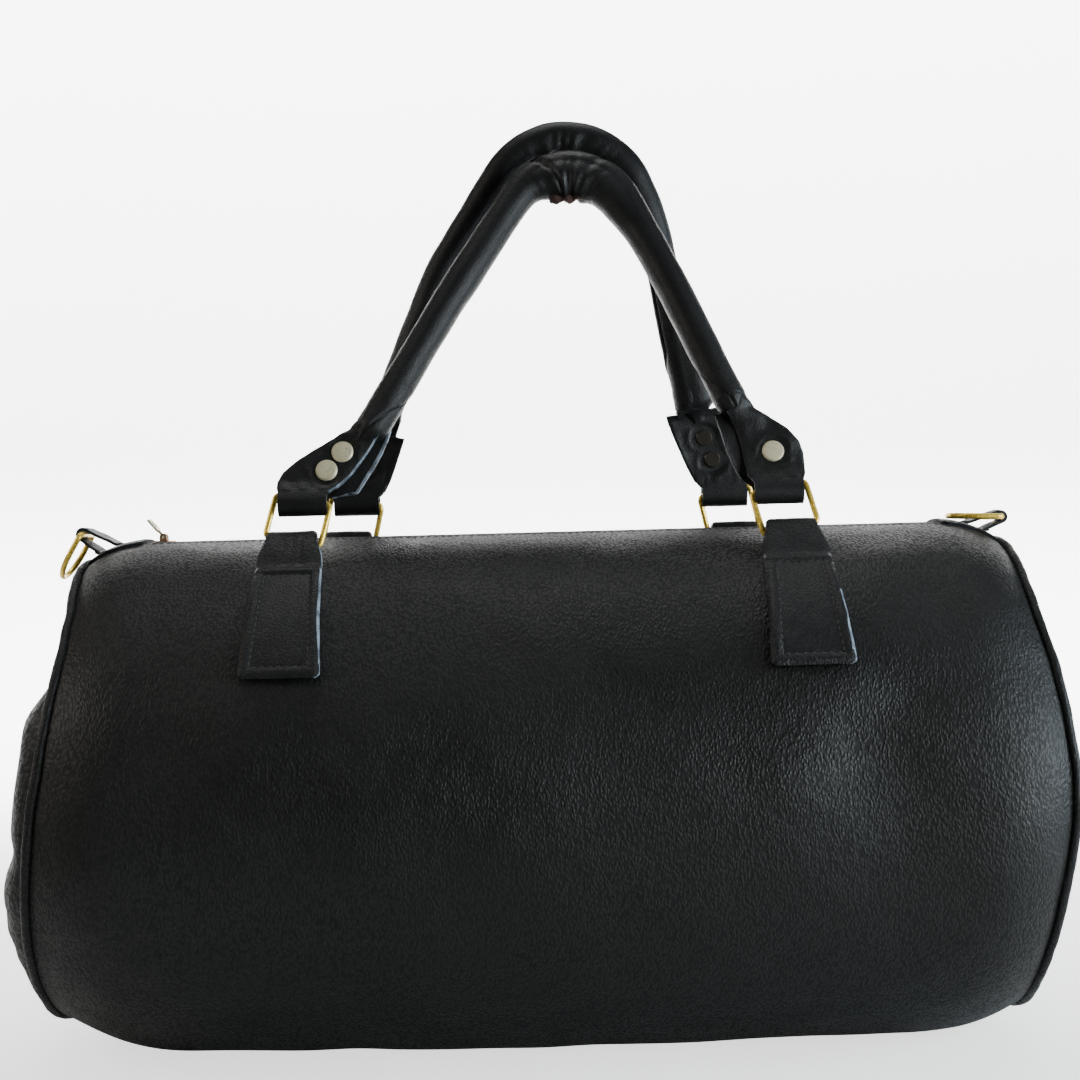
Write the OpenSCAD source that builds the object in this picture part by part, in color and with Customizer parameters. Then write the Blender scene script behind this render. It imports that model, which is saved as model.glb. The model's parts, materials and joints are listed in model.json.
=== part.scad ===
// Leather barrel bag: a stuffed barrel with a round panel at each end, a zip
// along the top, two rolled handles that hang in rectangular rings on sewn
// patches, and a D-ring in a leather loop over each end seam.
// X runs along the barrel, the front faces -Y, and the bag stands on z = 0.

/* [Barrel] */
// Length of the barrel between its two end seams
barrel_len = 468; // [400:1:600]
// Diameter of the stuffed barrel
barrel_dia = 264; // [230:1:320]
// How much of the barrel is pressed flat where it stands
base_press = 6; // [3:0.5:9]
// Length of the rounded shoulder beside each end seam
shoulder_len = 34; // [22:1:50]
// How far the shoulder draws in at the end seam
shoulder_in = 10; // [7:0.5:16]
// Thickness of the body leather
leather_t = 2; // [1.2:0.1:3]
// Thickness of the lining cloth
lining_t = 0.8; // [0.5:0.1:1.5]
// How far the left end panel swells out past its seam
left_end_swell = 20; // [8:1:28]
// How far the right end panel swells out past its seam
right_end_swell = 13; // [6:1:28]
// Diameter of the piping along each end seam
piping_dia = 4.5; // [3:0.5:7]

/* [Zip] */
// Width of the gap along the top, which the zip fills
slot_w = 27; // [24:0.5:36]
// Distance from an end seam to the end of the zip
slot_end_margin = 27.5; // [22:0.5:50]
// Thickness of the leather that closes the opening past each end of the zip
zip_end_t = 1.6; // [1.2:0.1:2.4]
// How far that leather laps onto the barrel on each side
zip_end_lap = 7; // [5:0.5:12]
// Thickness of the zip's woven tape
tape_t = 0.7; // [0.5:0.1:1]
// Width of tape that is sewn under the leather on each side
tape_seam_w = 8; // [5:0.5:12]
// Distance between neighbouring teeth of one row
tooth_pitch = 4; // [3:0.5:6]
// Width of one tooth along the zip
tooth_w = 1.9; // [1.2:0.1:2.4]
// Length of one tooth across the zip
tooth_reach = 3; // [2:0.25:4]
// Height of the teeth
tooth_h = 2.6; // [2:0.1:3.4]
// Length of the slider
slider_len = 11; // [9:0.5:15]
// Length of the flat pull on the slider
pull_len = 12; // [10:0.5:20]
// Width of the flat pull
pull_w = 8; // [5:0.5:12]
// How far the pull leans back from level at rest
pull_rest_angle = 50; // [30:1:70]

/* [Patches and rings] */
// Distance between the rings of the front handle
front_span = 248; // [210:1:290]
// Distance between the rings of the rear handle
rear_span = 212; // [190:1:290]
// Angle round the barrel from the top to the rings
ring_place_angle = 21; // [16:0.5:28]
// Length of a patch from its ring down the barrel
patch_len = 92; // [60:1:120]
// Width of a patch at its lower edge
patch_low_w = 42; // [34:1:56]
// Width of a patch below its ring
patch_top_w = 32; // [26:1:34]
// Thickness of the leather that the patches, tabs and loops are cut from
strap_t = 1.8; // [1.2:0.1:2.4]
// Clear width inside a rectangular ring
ring_inner_w = 25; // [22:1:32]
// Clear height inside a rectangular ring
ring_inner_h = 20; // [18:1:28]
// Thickness of the wire of every ring
wire_dia = 3; // [2:0.25:4]
// Sideways lean of each rectangular ring towards the handle's middle
ring_tilt = 13; // [0:1:13]

/* [Handles] */
// Diameter of a rolled handle
grip_dia = 16; // [12:0.5:20]
// Thickness of the leather rolled round the cord
grip_leather_t = 1.9; // [1.2:0.1:3]
// Height over the rings at which the two straight legs would meet
peak_rise = 228; // [180:1:260]
// How much higher the legs of the rear handle would meet
rear_more_rise = 8; // [0:1:12]
// Sideways shift of the top of the handles
peak_shift = 22; // [-30:1:30]
// Radius of the bend at the top of a handle
peak_bend_r = 38; // [28:1:46]
// Radius of the gentle bend low on each leg
elbow_bend_r = 120; // [60:1:160]
// How far the elbows bow out from a straight leg
elbow_bow = 8; // [3:0.5:12]
// Length of the flat tab from the ring to the rolled part
tab_len = 53; // [44:1:64]
// Width of the flat tab across its rivets
tab_w = 27; // [24:1:32]
// Slant of the front handle's left tab
front_left_slant_angle = 39; // [10:1:40]
// Slant of the front handle's right tab
front_right_slant_angle = 19; // [10:1:40]
// Slant of the rear handle's tabs
rear_slant_angle = 20; // [10:1:40]
// Backward lean of the front handle
front_lean_angle = 18; // [14:0.5:18.5]
// Forward lean of the rear handle
rear_lean_angle = 4; // [2:0.5:4]
// Diameter of a rivet's cap
rivet_dia = 11; // [8:0.5:12]
// Distance between the rivets of a tab that has two
rivet_gap = 12.5; // [12:0.5:16]

/* [D-rings] */
// Clear width inside a D-ring
d_ring_inner_w = 25; // [22:1:30]
// Distance from a D-ring's bar to the middle of its bow
d_ring_depth = 25; // [22:1:30]
// How far a D-ring's bar stands outside the end seam
d_ring_out = 4; // [3:0.5:8]
// How far the left D-ring's bar stands over the barrel's top line
left_d_ring_up = 4; // [2:0.5:6]
// How far the right D-ring's bar stands over the barrel's top line
right_d_ring_up = 1; // [1:0.5:4]
// Width of the leather loop that holds a D-ring
d_loop_w = 20; // [12:1:21]
// Angle below level at which the left D-ring hangs
d_ring_hang = 60; // [45:1:62]

/* [Hidden] */
// Clearances
seat_gap = 0.1;
cloth_gap = 0.1;
body_gap = 0.3;
pin_gap = 0.08;
cut_over = 1;
least_len = 0.01;

// Barrel
barrel_r = barrel_dia / 2;
barrel_half = barrel_len / 2;
axis_z = barrel_r - base_press;
straight_half = barrel_half - shoulder_len;
shoulder_r = (shoulder_len * shoulder_len + shoulder_in * shoulder_in) / (2 * shoulder_in);
shoulder_steps = 8;
seam_r = barrel_r - shoulder_in;
piping_r = piping_dia / 2;
piping_x = barrel_half + piping_r + seat_gap / 2;
lining_inset = leather_t + tape_t + 2 * cloth_gap;
end_panel_r = seam_r - piping_r - seat_gap;
swell_steps = 14;
swell_power = 4;

// Zip, seen from its own middle plane
tape_r = barrel_r - leather_t - cloth_gap - tape_t / 2;
hinge_in = 0.6;
hinge_y = slot_w / 2 - hinge_in;
tape_z = axis_z + sqrt(tape_r * tape_r - slot_w * slot_w / 4);
slot_half = barrel_half - slot_end_margin;
row_gap_half = 0.75;
row_reach = row_gap_half + tooth_reach;
spine_w = 1.75;
tape_grip_w = 1.2;
tape_inner_y = row_reach - tape_grip_w;
stop_len = 2.2;
zip_end_x = slot_half - stop_len / 2;
zip_end_top = seat_gap + zip_end_t;
park_gap = 0.6;
park_x = slot_half - stop_len - slider_len / 2 - 2 * park_gap;
side_half = park_x - slider_len / 2 - 4 * park_gap;
tooth_count = floor((2 * side_half - tooth_pitch) / tooth_pitch);
slider_gap = 0.2;
slider_plate_t = 1.4;
slider_lip_w = 1.2;
slider_lip_y = row_reach + slider_gap;
slider_half_w = slider_lip_y + slider_lip_w;
slider_low = tooth_h / 2 + slider_gap;
slider_top = slider_low + slider_plate_t;
slider_post_w = 0.9;
slider_post_len = 3;
pull_t = 1.2;
pull_pin_r = 0.8;
pull_lug_y = 1.5;
pull_lug_t = 1.3;
pull_lug_r = 1.9;
pull_neck_len = 3.6;
pull_pivot_z = tape_z + slider_top + pull_lug_r;

// Rings, patches and loops
rod_join_share = 0.15;
rod_step_share = 0.012;
wire_r = wire_dia / 2;
ring_w = ring_inner_w + wire_dia;
ring_h = ring_inner_h + wire_dia;
ring_corner_r = wire_dia;
loop_play = 2.9;
loop_bore_r = wire_r + loop_play;
loop_out_r = loop_bore_r + strap_t;
loop_side_gap = 1.5;
loop_w = ring_inner_w - 2 * loop_side_gap;
pivot_r = barrel_r + seat_gap + loop_out_r;
pivot_y = pivot_r * sin(ring_place_angle);
pivot_z = axis_z + pivot_r * cos(ring_place_angle);
patch_angle = patch_len / barrel_r * 180 / PI;
patch_t = 2 * strap_t;
patch_corner_r = 5;
patch_neck_len = 8;
ring_top_x = ring_h * sin(ring_tilt);
ring_top_v = ring_h * cos(ring_tilt);

// Handles, in the plane of each handle, from the upper bars of its rings
grip_r = grip_dia / 2;
cord_r = grip_r - grip_leather_t - seat_gap;
neck_disc = 0.6;
tab_t = 2 * strap_t;
tab_corner_r = 4;
tab_flat_share = 0.7;
elbow_share = 0.36;
rivet_low_share = 0.35;
single_rivet_share = 0.34;
single_rivet_aside = 4.5;
rivet_shank_r = 1.6;
rivet_cap_t = 1.7;
rivet_rim_t = 0.5;
rivet_back_share = 0.8;

// D-rings
d_ring_w = d_ring_inner_w + wire_dia;
d_ring_corner_r = wire_dia;
d_loop_play = 0.7;
d_loop_bore_r = wire_r + d_loop_play;
d_loop_t = 1.5;
d_loop_out_r = d_loop_bore_r + d_loop_t;
d_bar_x = barrel_half + d_ring_out;
d_foot_in = 12;
d_foot_out = 4;

// The right D-ring lies inwards: its bow rests on the leather past the zip
d_bow_z = top_line(d_bar_x - d_ring_depth) + body_gap + wire_r;
d_lie_angle = asin((d_bow_z - d_bar_z(false)) / d_ring_depth);

// Smoothness
big_fn = 96;
mid_fn = 48;
hull_fn = 32;
corner_steps = 5;

// Colours
black_leather = "#1c1d20";
strap_leather = "#212226";
cloth_dark = "#2a2a2e";
tape_black = "#17171a";
yellow_brass = "#b58a2e";
pale_brass = "#cbb994";
rope_fibre = "#b9a888";

// Helpers: plane geometry

function unit(v) = v / norm(v);
function cross2(a, b) = a[0] * b[1] - a[1] * b[0];
function turn_at(pts, i, n) =
    let(into = unit(pts[i] - pts[(i + n - 1) % n]), out = unit(pts[(i + 1) % n] - pts[i]))
    atan2(cross2(into, out), into * out);

// A polygon with every corner rounded to the same radius
function rounded(pts, r) = let(n = len(pts)) [
    for (i = [0:n - 1])
        let(turn = turn_at(pts, i, n),
            into = unit(pts[i] - pts[(i + n - 1) % n]),
            side = turn > 0 ? [-into[1], into[0]] : [into[1], -into[0]],
            start = pts[i] - into * r * tan(abs(turn) / 2),
            centre = start + side * r,
            from = atan2(start[1] - centre[1], start[0] - centre[0]))
        for (k = [0:corner_steps])
            centre + r * [cos(from + turn * k / corner_steps), sin(from + turn * k / corner_steps)]
];

// How far the shoulder has drawn in at a place along the barrel
function shoulder_drop(s) =
    let(past = max(0, abs(s) - straight_half))
    past == 0 ? 0 : shoulder_r - sqrt(shoulder_r * shoulder_r - past * past);

// Height of the leather that closes the gap past the zip, along its middle
function top_line(s) = axis_z + barrel_r - shoulder_drop(s) + zip_end_top;
function d_bar_z(left) = axis_z + barrel_r + (left ? left_d_ring_up : right_d_ring_up);

// Swell of an end panel at a share of its radius
function swell(share) = sqrt(max(0, 1 - pow(share, swell_power)));

// Helpers: solids

module from_axis() translate([0, 0, axis_z]) rotate([0, -90, 0]) children();

module over_floor(floor_z) {
    reach = barrel_len + 4 * piping_dia;
    intersection() {
        children();
        translate([-reach / 2, -barrel_dia, floor_z]) cube([reach, 2 * barrel_dia, 2 * barrel_dia]);
    }
}

// The barrel drawn in by an inset, running past its seams by an overrun
module barrel_solid(inset, overrun) {
    edge = [for (i = [0:shoulder_steps]) straight_half + shoulder_len * i / shoulder_steps];
    half = barrel_half + overrun;
    end_r = barrel_r - inset - shoulder_drop(barrel_half);
    from_axis() rotate_extrude($fn = big_fn) polygon(concat(
        [[0, -half], [end_r, -half]],
        [for (i = [shoulder_steps:-1:0]) [barrel_r - inset - shoulder_drop(edge[i]), -edge[i]]],
        [for (i = [0:shoulder_steps]) [barrel_r - inset - shoulder_drop(edge[i]), edge[i]]],
        [[end_r, half], [0, half]]));
}

// A wall of the barrel between two insets, open at both ends
module barrel_wall(inset, wall) {
    difference() {
        over_floor(inset) barrel_solid(inset, 0);
        over_floor(inset + wall) barrel_solid(inset + wall, cut_over);
    }
}

// The gap between the two long edges of the leather that is wrapped round
module top_gap() {
    translate([-barrel_half - cut_over, -slot_w / 2, axis_z])
        cube([barrel_len + 2 * cut_over, slot_w, barrel_dia]);
}

module front_side(front) {
    if (front) mirror([0, 1, 0]) children();
    else children();
}

module left_side(left) {
    if (left) mirror([1, 0, 0]) children();
    else children();
}

// A wire or tube through points of the XZ plane, straight between its bends.
// Each bend has its radius; a closed path bends at its first point too. A
// bend is a hair thinner than the straight runs, which reach a little into it.
module bent_rod(pts, bends, r, closed) {
    n = len(pts);
    turns = [for (i = [0:n - 1]) closed || (i > 0 && i < n - 1) ? turn_at(pts, i, n) : 0];
    setback = [for (i = [0:n - 1]) bends[i] * tan(abs(turns[i]) / 2)];
    for (i = [0:closed ? n - 1 : n - 2]) {
        next = (i + 1) % n;
        along = unit(pts[next] - pts[i]);
        start_in = setback[i] > 0 ? r * rod_join_share : 0;
        end_in = setback[next] > 0 ? r * rod_join_share : 0;
        start = pts[i] + along * (setback[i] - start_in);
        run = norm(pts[next] - pts[i]) - setback[i] - setback[next];
        if (run > least_len)
            translate([start[0], 0, start[1]]) rotate([0, atan2(along[0], along[1]), 0])
                cylinder(h = run + start_in + end_in, r = r, $fn = mid_fn);
    }
    for (i = [0:n - 1]) if (abs(turns[i]) > least_len) {
        into = unit(pts[i] - pts[(i + n - 1) % n]);
        side = turns[i] > 0 ? [-into[1], into[0]] : [into[1], -into[0]];
        start = pts[i] - into * setback[i];
        centre = start + side * bends[i];
        first = atan2(start[1] - centre[1], start[0] - centre[0]) + min(0, turns[i]);
        translate([centre[0], 0, centre[1]]) rotate([90, 0, 0]) rotate([0, 0, first])
            rotate_extrude(angle = abs(turns[i]), $fn = big_fn)
                translate([bends[i], 0]) circle(r * (1 - rod_step_share), $fn = mid_fn);
    }
}

// Body: leather, lining and seams

module body_panel() color(black_leather) difference() {
    barrel_wall(0, leather_t);
    top_gap();
}

module body_lining() color(cloth_dark) difference() {
    barrel_wall(lining_inset, lining_t);
    top_gap();
}

module end_shell(left, rim_r, face_x, wall) {
    out = left ? left_end_swell : right_end_swell;
    outer = [for (i = [0:swell_steps])
        let(share = sin(90 * i / swell_steps)) [rim_r * share, face_x + out * swell(share)]];
    inner = [for (i = [swell_steps:-1:0])
        let(share = sin(90 * i / swell_steps))
        [(rim_r - wall) * share, face_x - wall + out * swell(share)]];
    from_axis() rotate_extrude($fn = big_fn) polygon(concat(outer, inner));
}

module end_panel(left) color(black_leather) left_side(!left)
    end_shell(left, end_panel_r, piping_x, leather_t);

module end_lining(left) color(cloth_dark) left_side(!left)
    end_shell(left, end_panel_r - leather_t - cloth_gap, piping_x - leather_t - cloth_gap, lining_t);

module piping(left) color(strap_leather) left_side(!left)
    over_floor(0) from_axis() translate([0, 0, piping_x])
        rotate_extrude($fn = big_fn) translate([seam_r, 0]) circle(piping_r, $fn = mid_fn);

// Zip

module tape_strip(x0, x1, y0, y1) {
    translate([x0, y0, tape_z - tape_t / 2]) cube([x1 - x0, y1 - y0, tape_t]);
}

// The sewn margins beside the gap and the short closed ends of the zip
module zip_tape_frame() color(tape_black) {
    margin_y = hinge_y + tape_t / 2 + cloth_gap;
    intersection() {
        barrel_wall(leather_t + cloth_gap, tape_t);
        for (side = [0, 1]) mirror([0, side, 0])
            translate([-slot_half - tape_seam_w, margin_y, axis_z])
                cube([2 * (slot_half + tape_seam_w), tape_seam_w, barrel_r]);
    }
    for (end = [0, 1], side = [0, 1]) mirror([end, 0, 0]) mirror([0, side, 0])
        tape_strip(side_half + park_gap, slot_half + tape_seam_w, tape_inner_y, margin_y + cloth_gap);
}

// The leather that closes the gap past one end of the zip
module zip_end(left) color(strap_leather) left_side(left) intersection() {
    barrel_wall(-zip_end_top, zip_end_t);
    translate([zip_end_x, -slot_w / 2 - zip_end_lap, axis_z])
        cube([barrel_half - zip_end_x - body_gap, slot_w + 2 * zip_end_lap, barrel_dia]);
}

// One block or tooth clamped on the inner edge of a tape
module row_block(x, len_x) {
    difference() {
        translate([x - len_x / 2, row_gap_half, tape_z - tooth_h / 2])
            cube([len_x, tooth_reach, tooth_h]);
        tape_groove(x - len_x, x + len_x);
    }
}

module tape_groove(x0, x1) {
    groove_h = tape_t + 2 * cloth_gap;
    translate([x0, tape_inner_y - cloth_gap, tape_z - groove_h / 2])
        cube([x1 - x0, tape_grip_w + cut_over, groove_h]);
}

module zip_stops() color(yellow_brass)
    for (end = [0, 1], side = [0, 1]) mirror([end, 0, 0]) mirror([0, side, 0])
        row_block(slot_half - cloth_gap - stop_len / 2, stop_len);

module zip_tape() color(tape_black)
    tape_strip(-side_half, side_half, tape_inner_y, hinge_y - body_gap);

// A row of teeth on one spine, drawn as a comb
module zip_teeth(shift) color(yellow_brass) difference() {
    row_len = (tooth_count - 1) * tooth_pitch + tooth_w;
    first = -row_len / 2 + shift;
    spine_y = row_reach - spine_w;
    translate([0, 0, tape_z - tooth_h / 2]) linear_extrude(tooth_h) polygon(concat(
        [for (i = [0:tooth_count - 1]) let(x = first + i * tooth_pitch) each
            [[x, spine_y], [x, row_gap_half], [x + tooth_w, row_gap_half], [x + tooth_w, spine_y]]],
        [[first + row_len, row_reach], [first, row_reach]]));
    tape_groove(-side_half - tooth_pitch, side_half + tooth_pitch);
}

module zip_slider() color(yellow_brass) translate([-park_x, 0, tape_z]) {
    for (up = [0, 1]) mirror([0, 0, up]) {
        translate([0, 0, slider_low]) linear_extrude(slider_plate_t) slider_outline();
        for (side = [0, 1]) mirror([0, side, 0])
            translate([-slider_len / 2, slider_lip_y, tape_t / 2 + slider_gap])
                cube([slider_len * 3 / 4, slider_lip_w, slider_low - tape_t / 2]);
    }
    translate([slider_len / 2 - slider_post_len - slider_gap, -slider_post_w / 2, -slider_low - slider_gap])
        cube([slider_post_len, slider_post_w, 2 * (slider_low + slider_gap)]);
    for (side = [0, 1]) mirror([0, side, 0]) translate([0, pull_lug_y, slider_top]) pull_lug();
}

module slider_outline() {
    nose_share = 0.7;
    polygon(rounded([
        [-slider_len / 2, -slider_half_w], [slider_len / 4, -slider_half_w],
        [slider_len / 2, -slider_half_w * nose_share], [slider_len / 2, slider_half_w * nose_share],
        [slider_len / 4, slider_half_w], [-slider_len / 2, slider_half_w]], slider_lip_w));
}

module pull_lug() difference() {
    union() {
        translate([0, 0, pull_lug_r]) rotate([-90, 0, 0])
            cylinder(h = pull_lug_t, r = pull_lug_r, $fn = mid_fn);
        translate([-pull_lug_r, 0, -slider_gap]) cube([2 * pull_lug_r, pull_lug_t, pull_lug_r + slider_gap]);
    }
    translate([0, -cut_over, pull_lug_r]) rotate([-90, 0, 0])
        cylinder(h = pull_lug_t + 2 * cut_over, r = pull_pin_r + pin_gap, $fn = mid_fn);
}

module zip_pull() color(pale_brass)
    translate([-park_x, 0, pull_pivot_z]) rotate([0, pull_rest_angle - 90, 0]) {
        half_pin = pull_lug_y + pull_lug_t;
        rotate([90, 0, 0]) cylinder(h = 2 * half_pin, r = pull_pin_r, center = true, $fn = mid_fn);
        neck_w = 2 * (pull_lug_y - body_gap);
        translate([-pull_t / 2, 0, 0]) rotate([90, 0, 90]) linear_extrude(pull_t) difference() {
            polygon(rounded([
                [-neck_w / 2, 0], [neck_w / 2, 0], [neck_w / 2, pull_neck_len],
                [pull_w / 2, pull_neck_len + pull_t], [pull_w / 2, pull_len],
                [-pull_w / 2, pull_len], [-pull_w / 2, pull_neck_len + pull_t],
                [-neck_w / 2, pull_neck_len]], pull_t / 4));
            translate([0, pull_len - pull_w / 2]) circle(pull_w / 4, $fn = mid_fn);
        }
    }

// D-rings and their loops

module d_loop(left) color(strap_leather) left_side(left) translate([0, d_loop_w / 2, 0])
    rotate([90, 0, 0]) linear_extrude(d_loop_w) difference() {
        foot_x = [barrel_half - d_foot_in, barrel_half - d_foot_out];
        foot = [for (x = foot_x) [x, top_line(x) + body_gap]];
        bar = [d_bar_x, d_bar_z(left)];
        along = unit(bar - (foot[0] + foot[1]) / 2);
        flank = [-along[1], along[0]] * d_loop_out_r;
        union() {
            polygon([foot[0], foot[1], bar - flank, bar + flank]);
            translate(bar) circle(d_loop_out_r, $fn = mid_fn);
        }
        translate(bar) circle(d_loop_bore_r, $fn = mid_fn);
    }

// A D-ring with its bar at the origin, its bow above
module d_ring_upright() rotate([0, 0, 90]) bent_rod(
    [[-d_ring_w / 2, 0], [d_ring_w / 2, 0],
        [d_ring_w / 2, d_ring_depth], [-d_ring_w / 2, d_ring_depth]],
    [d_ring_corner_r, d_ring_corner_r, d_ring_w / 2, d_ring_w / 2], wire_r, true);

module left_d_ring() color(yellow_brass)
    translate([-d_bar_x, 0, d_bar_z(true)]) rotate([0, -90 - d_ring_hang, 0]) d_ring_upright();

module right_d_ring() color(yellow_brass)
    translate([d_bar_x, 0, d_bar_z(false)]) rotate([0, d_lie_angle - 90, 0]) d_ring_upright();

// Patches and rectangular rings

module patch(front, x) color(strap_leather) front_side(front) translate([x, 0, 0]) {
    mid_angle = ring_place_angle + patch_angle / 2;
    half_run = (barrel_r + patch_t) * sin(patch_angle / 2);
    difference() {
        union() {
            intersection() {
                from_axis() rotate([0, 0, ring_place_angle])
                    rotate_extrude(angle = patch_angle, $fn = big_fn)
                        translate([barrel_r + seat_gap, -patch_low_w]) square([patch_t, 2 * patch_low_w]);
                translate([0, 0, axis_z]) rotate([-mid_angle, 0, 0])
                    translate([0, 0, barrel_r / 2]) linear_extrude(barrel_r) patch_outline(half_run);
            }
            ring_seat() rotate([0, 90, 0]) cylinder(h = loop_w, r = loop_out_r, center = true, $fn = mid_fn);
        }
        ring_seat() rotate([0, 90, 0])
            cylinder(h = loop_w + 2 * cut_over, r = loop_bore_r, center = true, $fn = mid_fn);
    }
}

module ring_seat() translate([0, pivot_y, pivot_z]) children();

module patch_outline(half_run) {
    low = half_run + seat_gap;
    wide_from = patch_neck_len - half_run;
    flare_to = wide_from + patch_neck_len / 2;
    // The upper edge stays square: rounding is for the two lower corners only
    polygon(concat(
        [[loop_w / 2, -half_run], [loop_w / 2, wide_from], [patch_top_w / 2, flare_to]],
        [for (p = low_corner(patch_low_w / 2 - patch_corner_r, low - patch_corner_r, 0)) p],
        [for (p = low_corner(patch_corner_r - patch_low_w / 2, low - patch_corner_r, 90)) p],
        [[-patch_top_w / 2, flare_to], [-loop_w / 2, wide_from], [-loop_w / 2, -half_run]]));
}

function low_corner(x, y, from) = [for (k = [0:corner_steps])
    let(a = from + 90 * k / corner_steps) [x + patch_corner_r * cos(a), y + patch_corner_r * sin(a)]];

module ring_upright(tilt) rotate([0, tilt, 0]) bent_rod(
    [[-ring_w / 2, 0], [ring_w / 2, 0], [ring_w / 2, ring_h], [-ring_w / 2, ring_h]],
    [ring_corner_r, ring_corner_r, ring_corner_r, ring_corner_r], wire_r, true);

// Puts what is drawn upright from a ring's lower bar at a handle's place and lean
module at_handle(front) {
    place_y = front ? -pivot_y : pivot_y;
    lean = front ? -front_lean_angle : rear_lean_angle;
    translate([0, place_y, pivot_z]) rotate([lean, 0, 0]) children();
}

module handle_ring(front, left) color(yellow_brass) at_handle(front) {
    x = (front ? front_span : rear_span) / 2;
    translate([left ? -x : x, 0, 0]) ring_upright(left ? ring_tilt : -ring_tilt);
}

// Handles. A tab is drawn as the right-hand one, leaning towards the middle

function tab_axis(slant) = [-sin(slant), cos(slant)];
function bar_x(span) = span / 2 - ring_top_x;
function neck(span, slant) = [bar_x(span), 0] + tab_axis(slant) * tab_len;
function peak(more) = [peak_shift, peak_rise + more];

// The elbow sits a share of the way up a leg, bowed out from it
function elbow(low, top, out) =
    let(leg = top - low, side = unit([out * abs(leg[1]), -out * leg[0]]))
    low + leg * elbow_share + side * elbow_bow;

function grip_points(span, left_slant, right_slant, more) =
    let(right = neck(span, right_slant),
        mirrored = neck(span, left_slant),
        left = [-mirrored[0], mirrored[1]],
        top = peak(more))
    [left, elbow(left, top, -1), top, elbow(right, top, 1), right];

grip_bends = [0, elbow_bend_r, peak_bend_r, elbow_bend_r, 0];

front_points = grip_points(front_span, front_left_slant_angle, front_right_slant_angle, 0);
rear_points = grip_points(rear_span, rear_slant_angle, rear_slant_angle, rear_more_rise);

module grip(front) color(strap_leather) at_handle(front) translate([0, 0, ring_top_v]) difference() {
    pts = front ? front_points : rear_points;
    bent_rod(pts, grip_bends, grip_r, false);
    bent_rod(pts, grip_bends, grip_r - grip_leather_t, false);
}

module cord(front) color(rope_fibre) at_handle(front) translate([0, 0, ring_top_v])
    bent_rod(front ? front_points : rear_points, grip_bends, cord_r, false);

function front_slant_of(left) = left ? front_left_slant_angle : front_right_slant_angle;
function slant_of(front, left) = front ? front_slant_of(left) : rear_slant_angle;
function span_of(front) = front ? front_span : rear_span;

module tab_outline(slant) {
    along = tab_axis(slant);
    across = [along[1], -along[0]];
    wide = along * tab_len * tab_flat_share;
    polygon(rounded([
        [loop_w / 2, 0], [loop_w / 2 + loop_side_gap / 2, loop_out_r * 2],
        wide + across * tab_w / 2, wide - across * tab_w / 2,
        [-loop_w / 2, 0]], loop_side_gap));
}

module tab(front, left) color(strap_leather) at_handle(front) translate([0, 0, ring_top_v])
    left_side(left) translate([bar_x(span_of(front)), 0, 0]) {
        slant = slant_of(front, left);
        along = tab_axis(slant);
        pts = front ? front_points : rear_points;
        leg = left ? pts[1] - pts[0] : pts[3] - pts[4];
        leg_angle = atan2(abs(leg[0]), leg[1]);
        difference() {
            union() {
                rotate([90, 0, 0]) translate([0, 0, -tab_t / 2]) linear_extrude(tab_t) tab_outline(slant);
                rotate([0, 90, 0]) cylinder(h = loop_w, r = loop_out_r, center = true, $fn = mid_fn);
                tab_throat(slant, leg_angle);
            }
            rotate([0, 90, 0])
                cylinder(h = loop_w + 2 * cut_over, r = loop_bore_r, center = true, $fn = mid_fn);
            for (place = rivet_places(along, front && !left)) translate([place[0], 0, place[1]])
                rotate([90, 0, 0])
                    cylinder(h = tab_t * 4, r = rivet_shank_r + pin_gap, center = true, $fn = mid_fn);
        }
    }

// The part of a tab that closes from the flat leather into the rolled handle
module tab_throat(slant, leg_angle) {
    along = tab_axis(slant) * tab_len;
    flat_at = along * tab_flat_share;
    hull() {
        translate([flat_at[0], 0, flat_at[1]]) rotate([0, -slant, 0])
            cube([tab_w - 2 * tab_corner_r, tab_t, neck_disc], center = true);
        translate([along[0], 0, along[1]]) rotate([0, -leg_angle, 0]) translate([0, 0, -neck_disc])
            cylinder(h = neck_disc, r = grip_r, $fn = hull_fn);
    }
}

// Places of a tab's rivets from its bar. The front handle's right tab has a single
// one, which sits to the outer side of the tab's axis.
function rivet_places(along, single) = single
    ? [along * tab_len * single_rivet_share + [along[1], -along[0]] * single_rivet_aside]
    : [along * tab_len * rivet_low_share, along * (tab_len * rivet_low_share + rivet_gap)];

// The rivet's broad cap is drawn towards -Y, its back washer towards +Y
module rivet() rotate([90, 0, 0]) rotate_extrude($fn = mid_fn) {
    cap_r = rivet_dia / 2;
    back_r = cap_r * rivet_back_share;
    seat = tab_t / 2 + seat_gap / 2;
    polygon([
        [0, -seat - rivet_rim_t * 2], [back_r - rivet_rim_t, -seat - rivet_rim_t * 2],
        [back_r, -seat - rivet_rim_t], [back_r, -seat], [rivet_shank_r, -seat],
        [rivet_shank_r, seat], [cap_r, seat], [cap_r, seat + rivet_rim_t],
        [cap_r * cos(30), seat + rivet_cap_t * sin(60)], [cap_r / 2, seat + rivet_cap_t * cos(15)],
        [0, seat + rivet_cap_t]]);
}

module rivets(front) color(pale_brass) at_handle(front) translate([0, 0, ring_top_v])
    for (left = [true, false]) left_side(left) translate([bar_x(span_of(front)), 0, 0]) {
        along = tab_axis(slant_of(front, left));
        for (place = rivet_places(along, front && !left)) translate([place[0], 0, place[1]])
            front_side(!front) rivet();
    }

// The whole bag, one piece at a time

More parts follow.
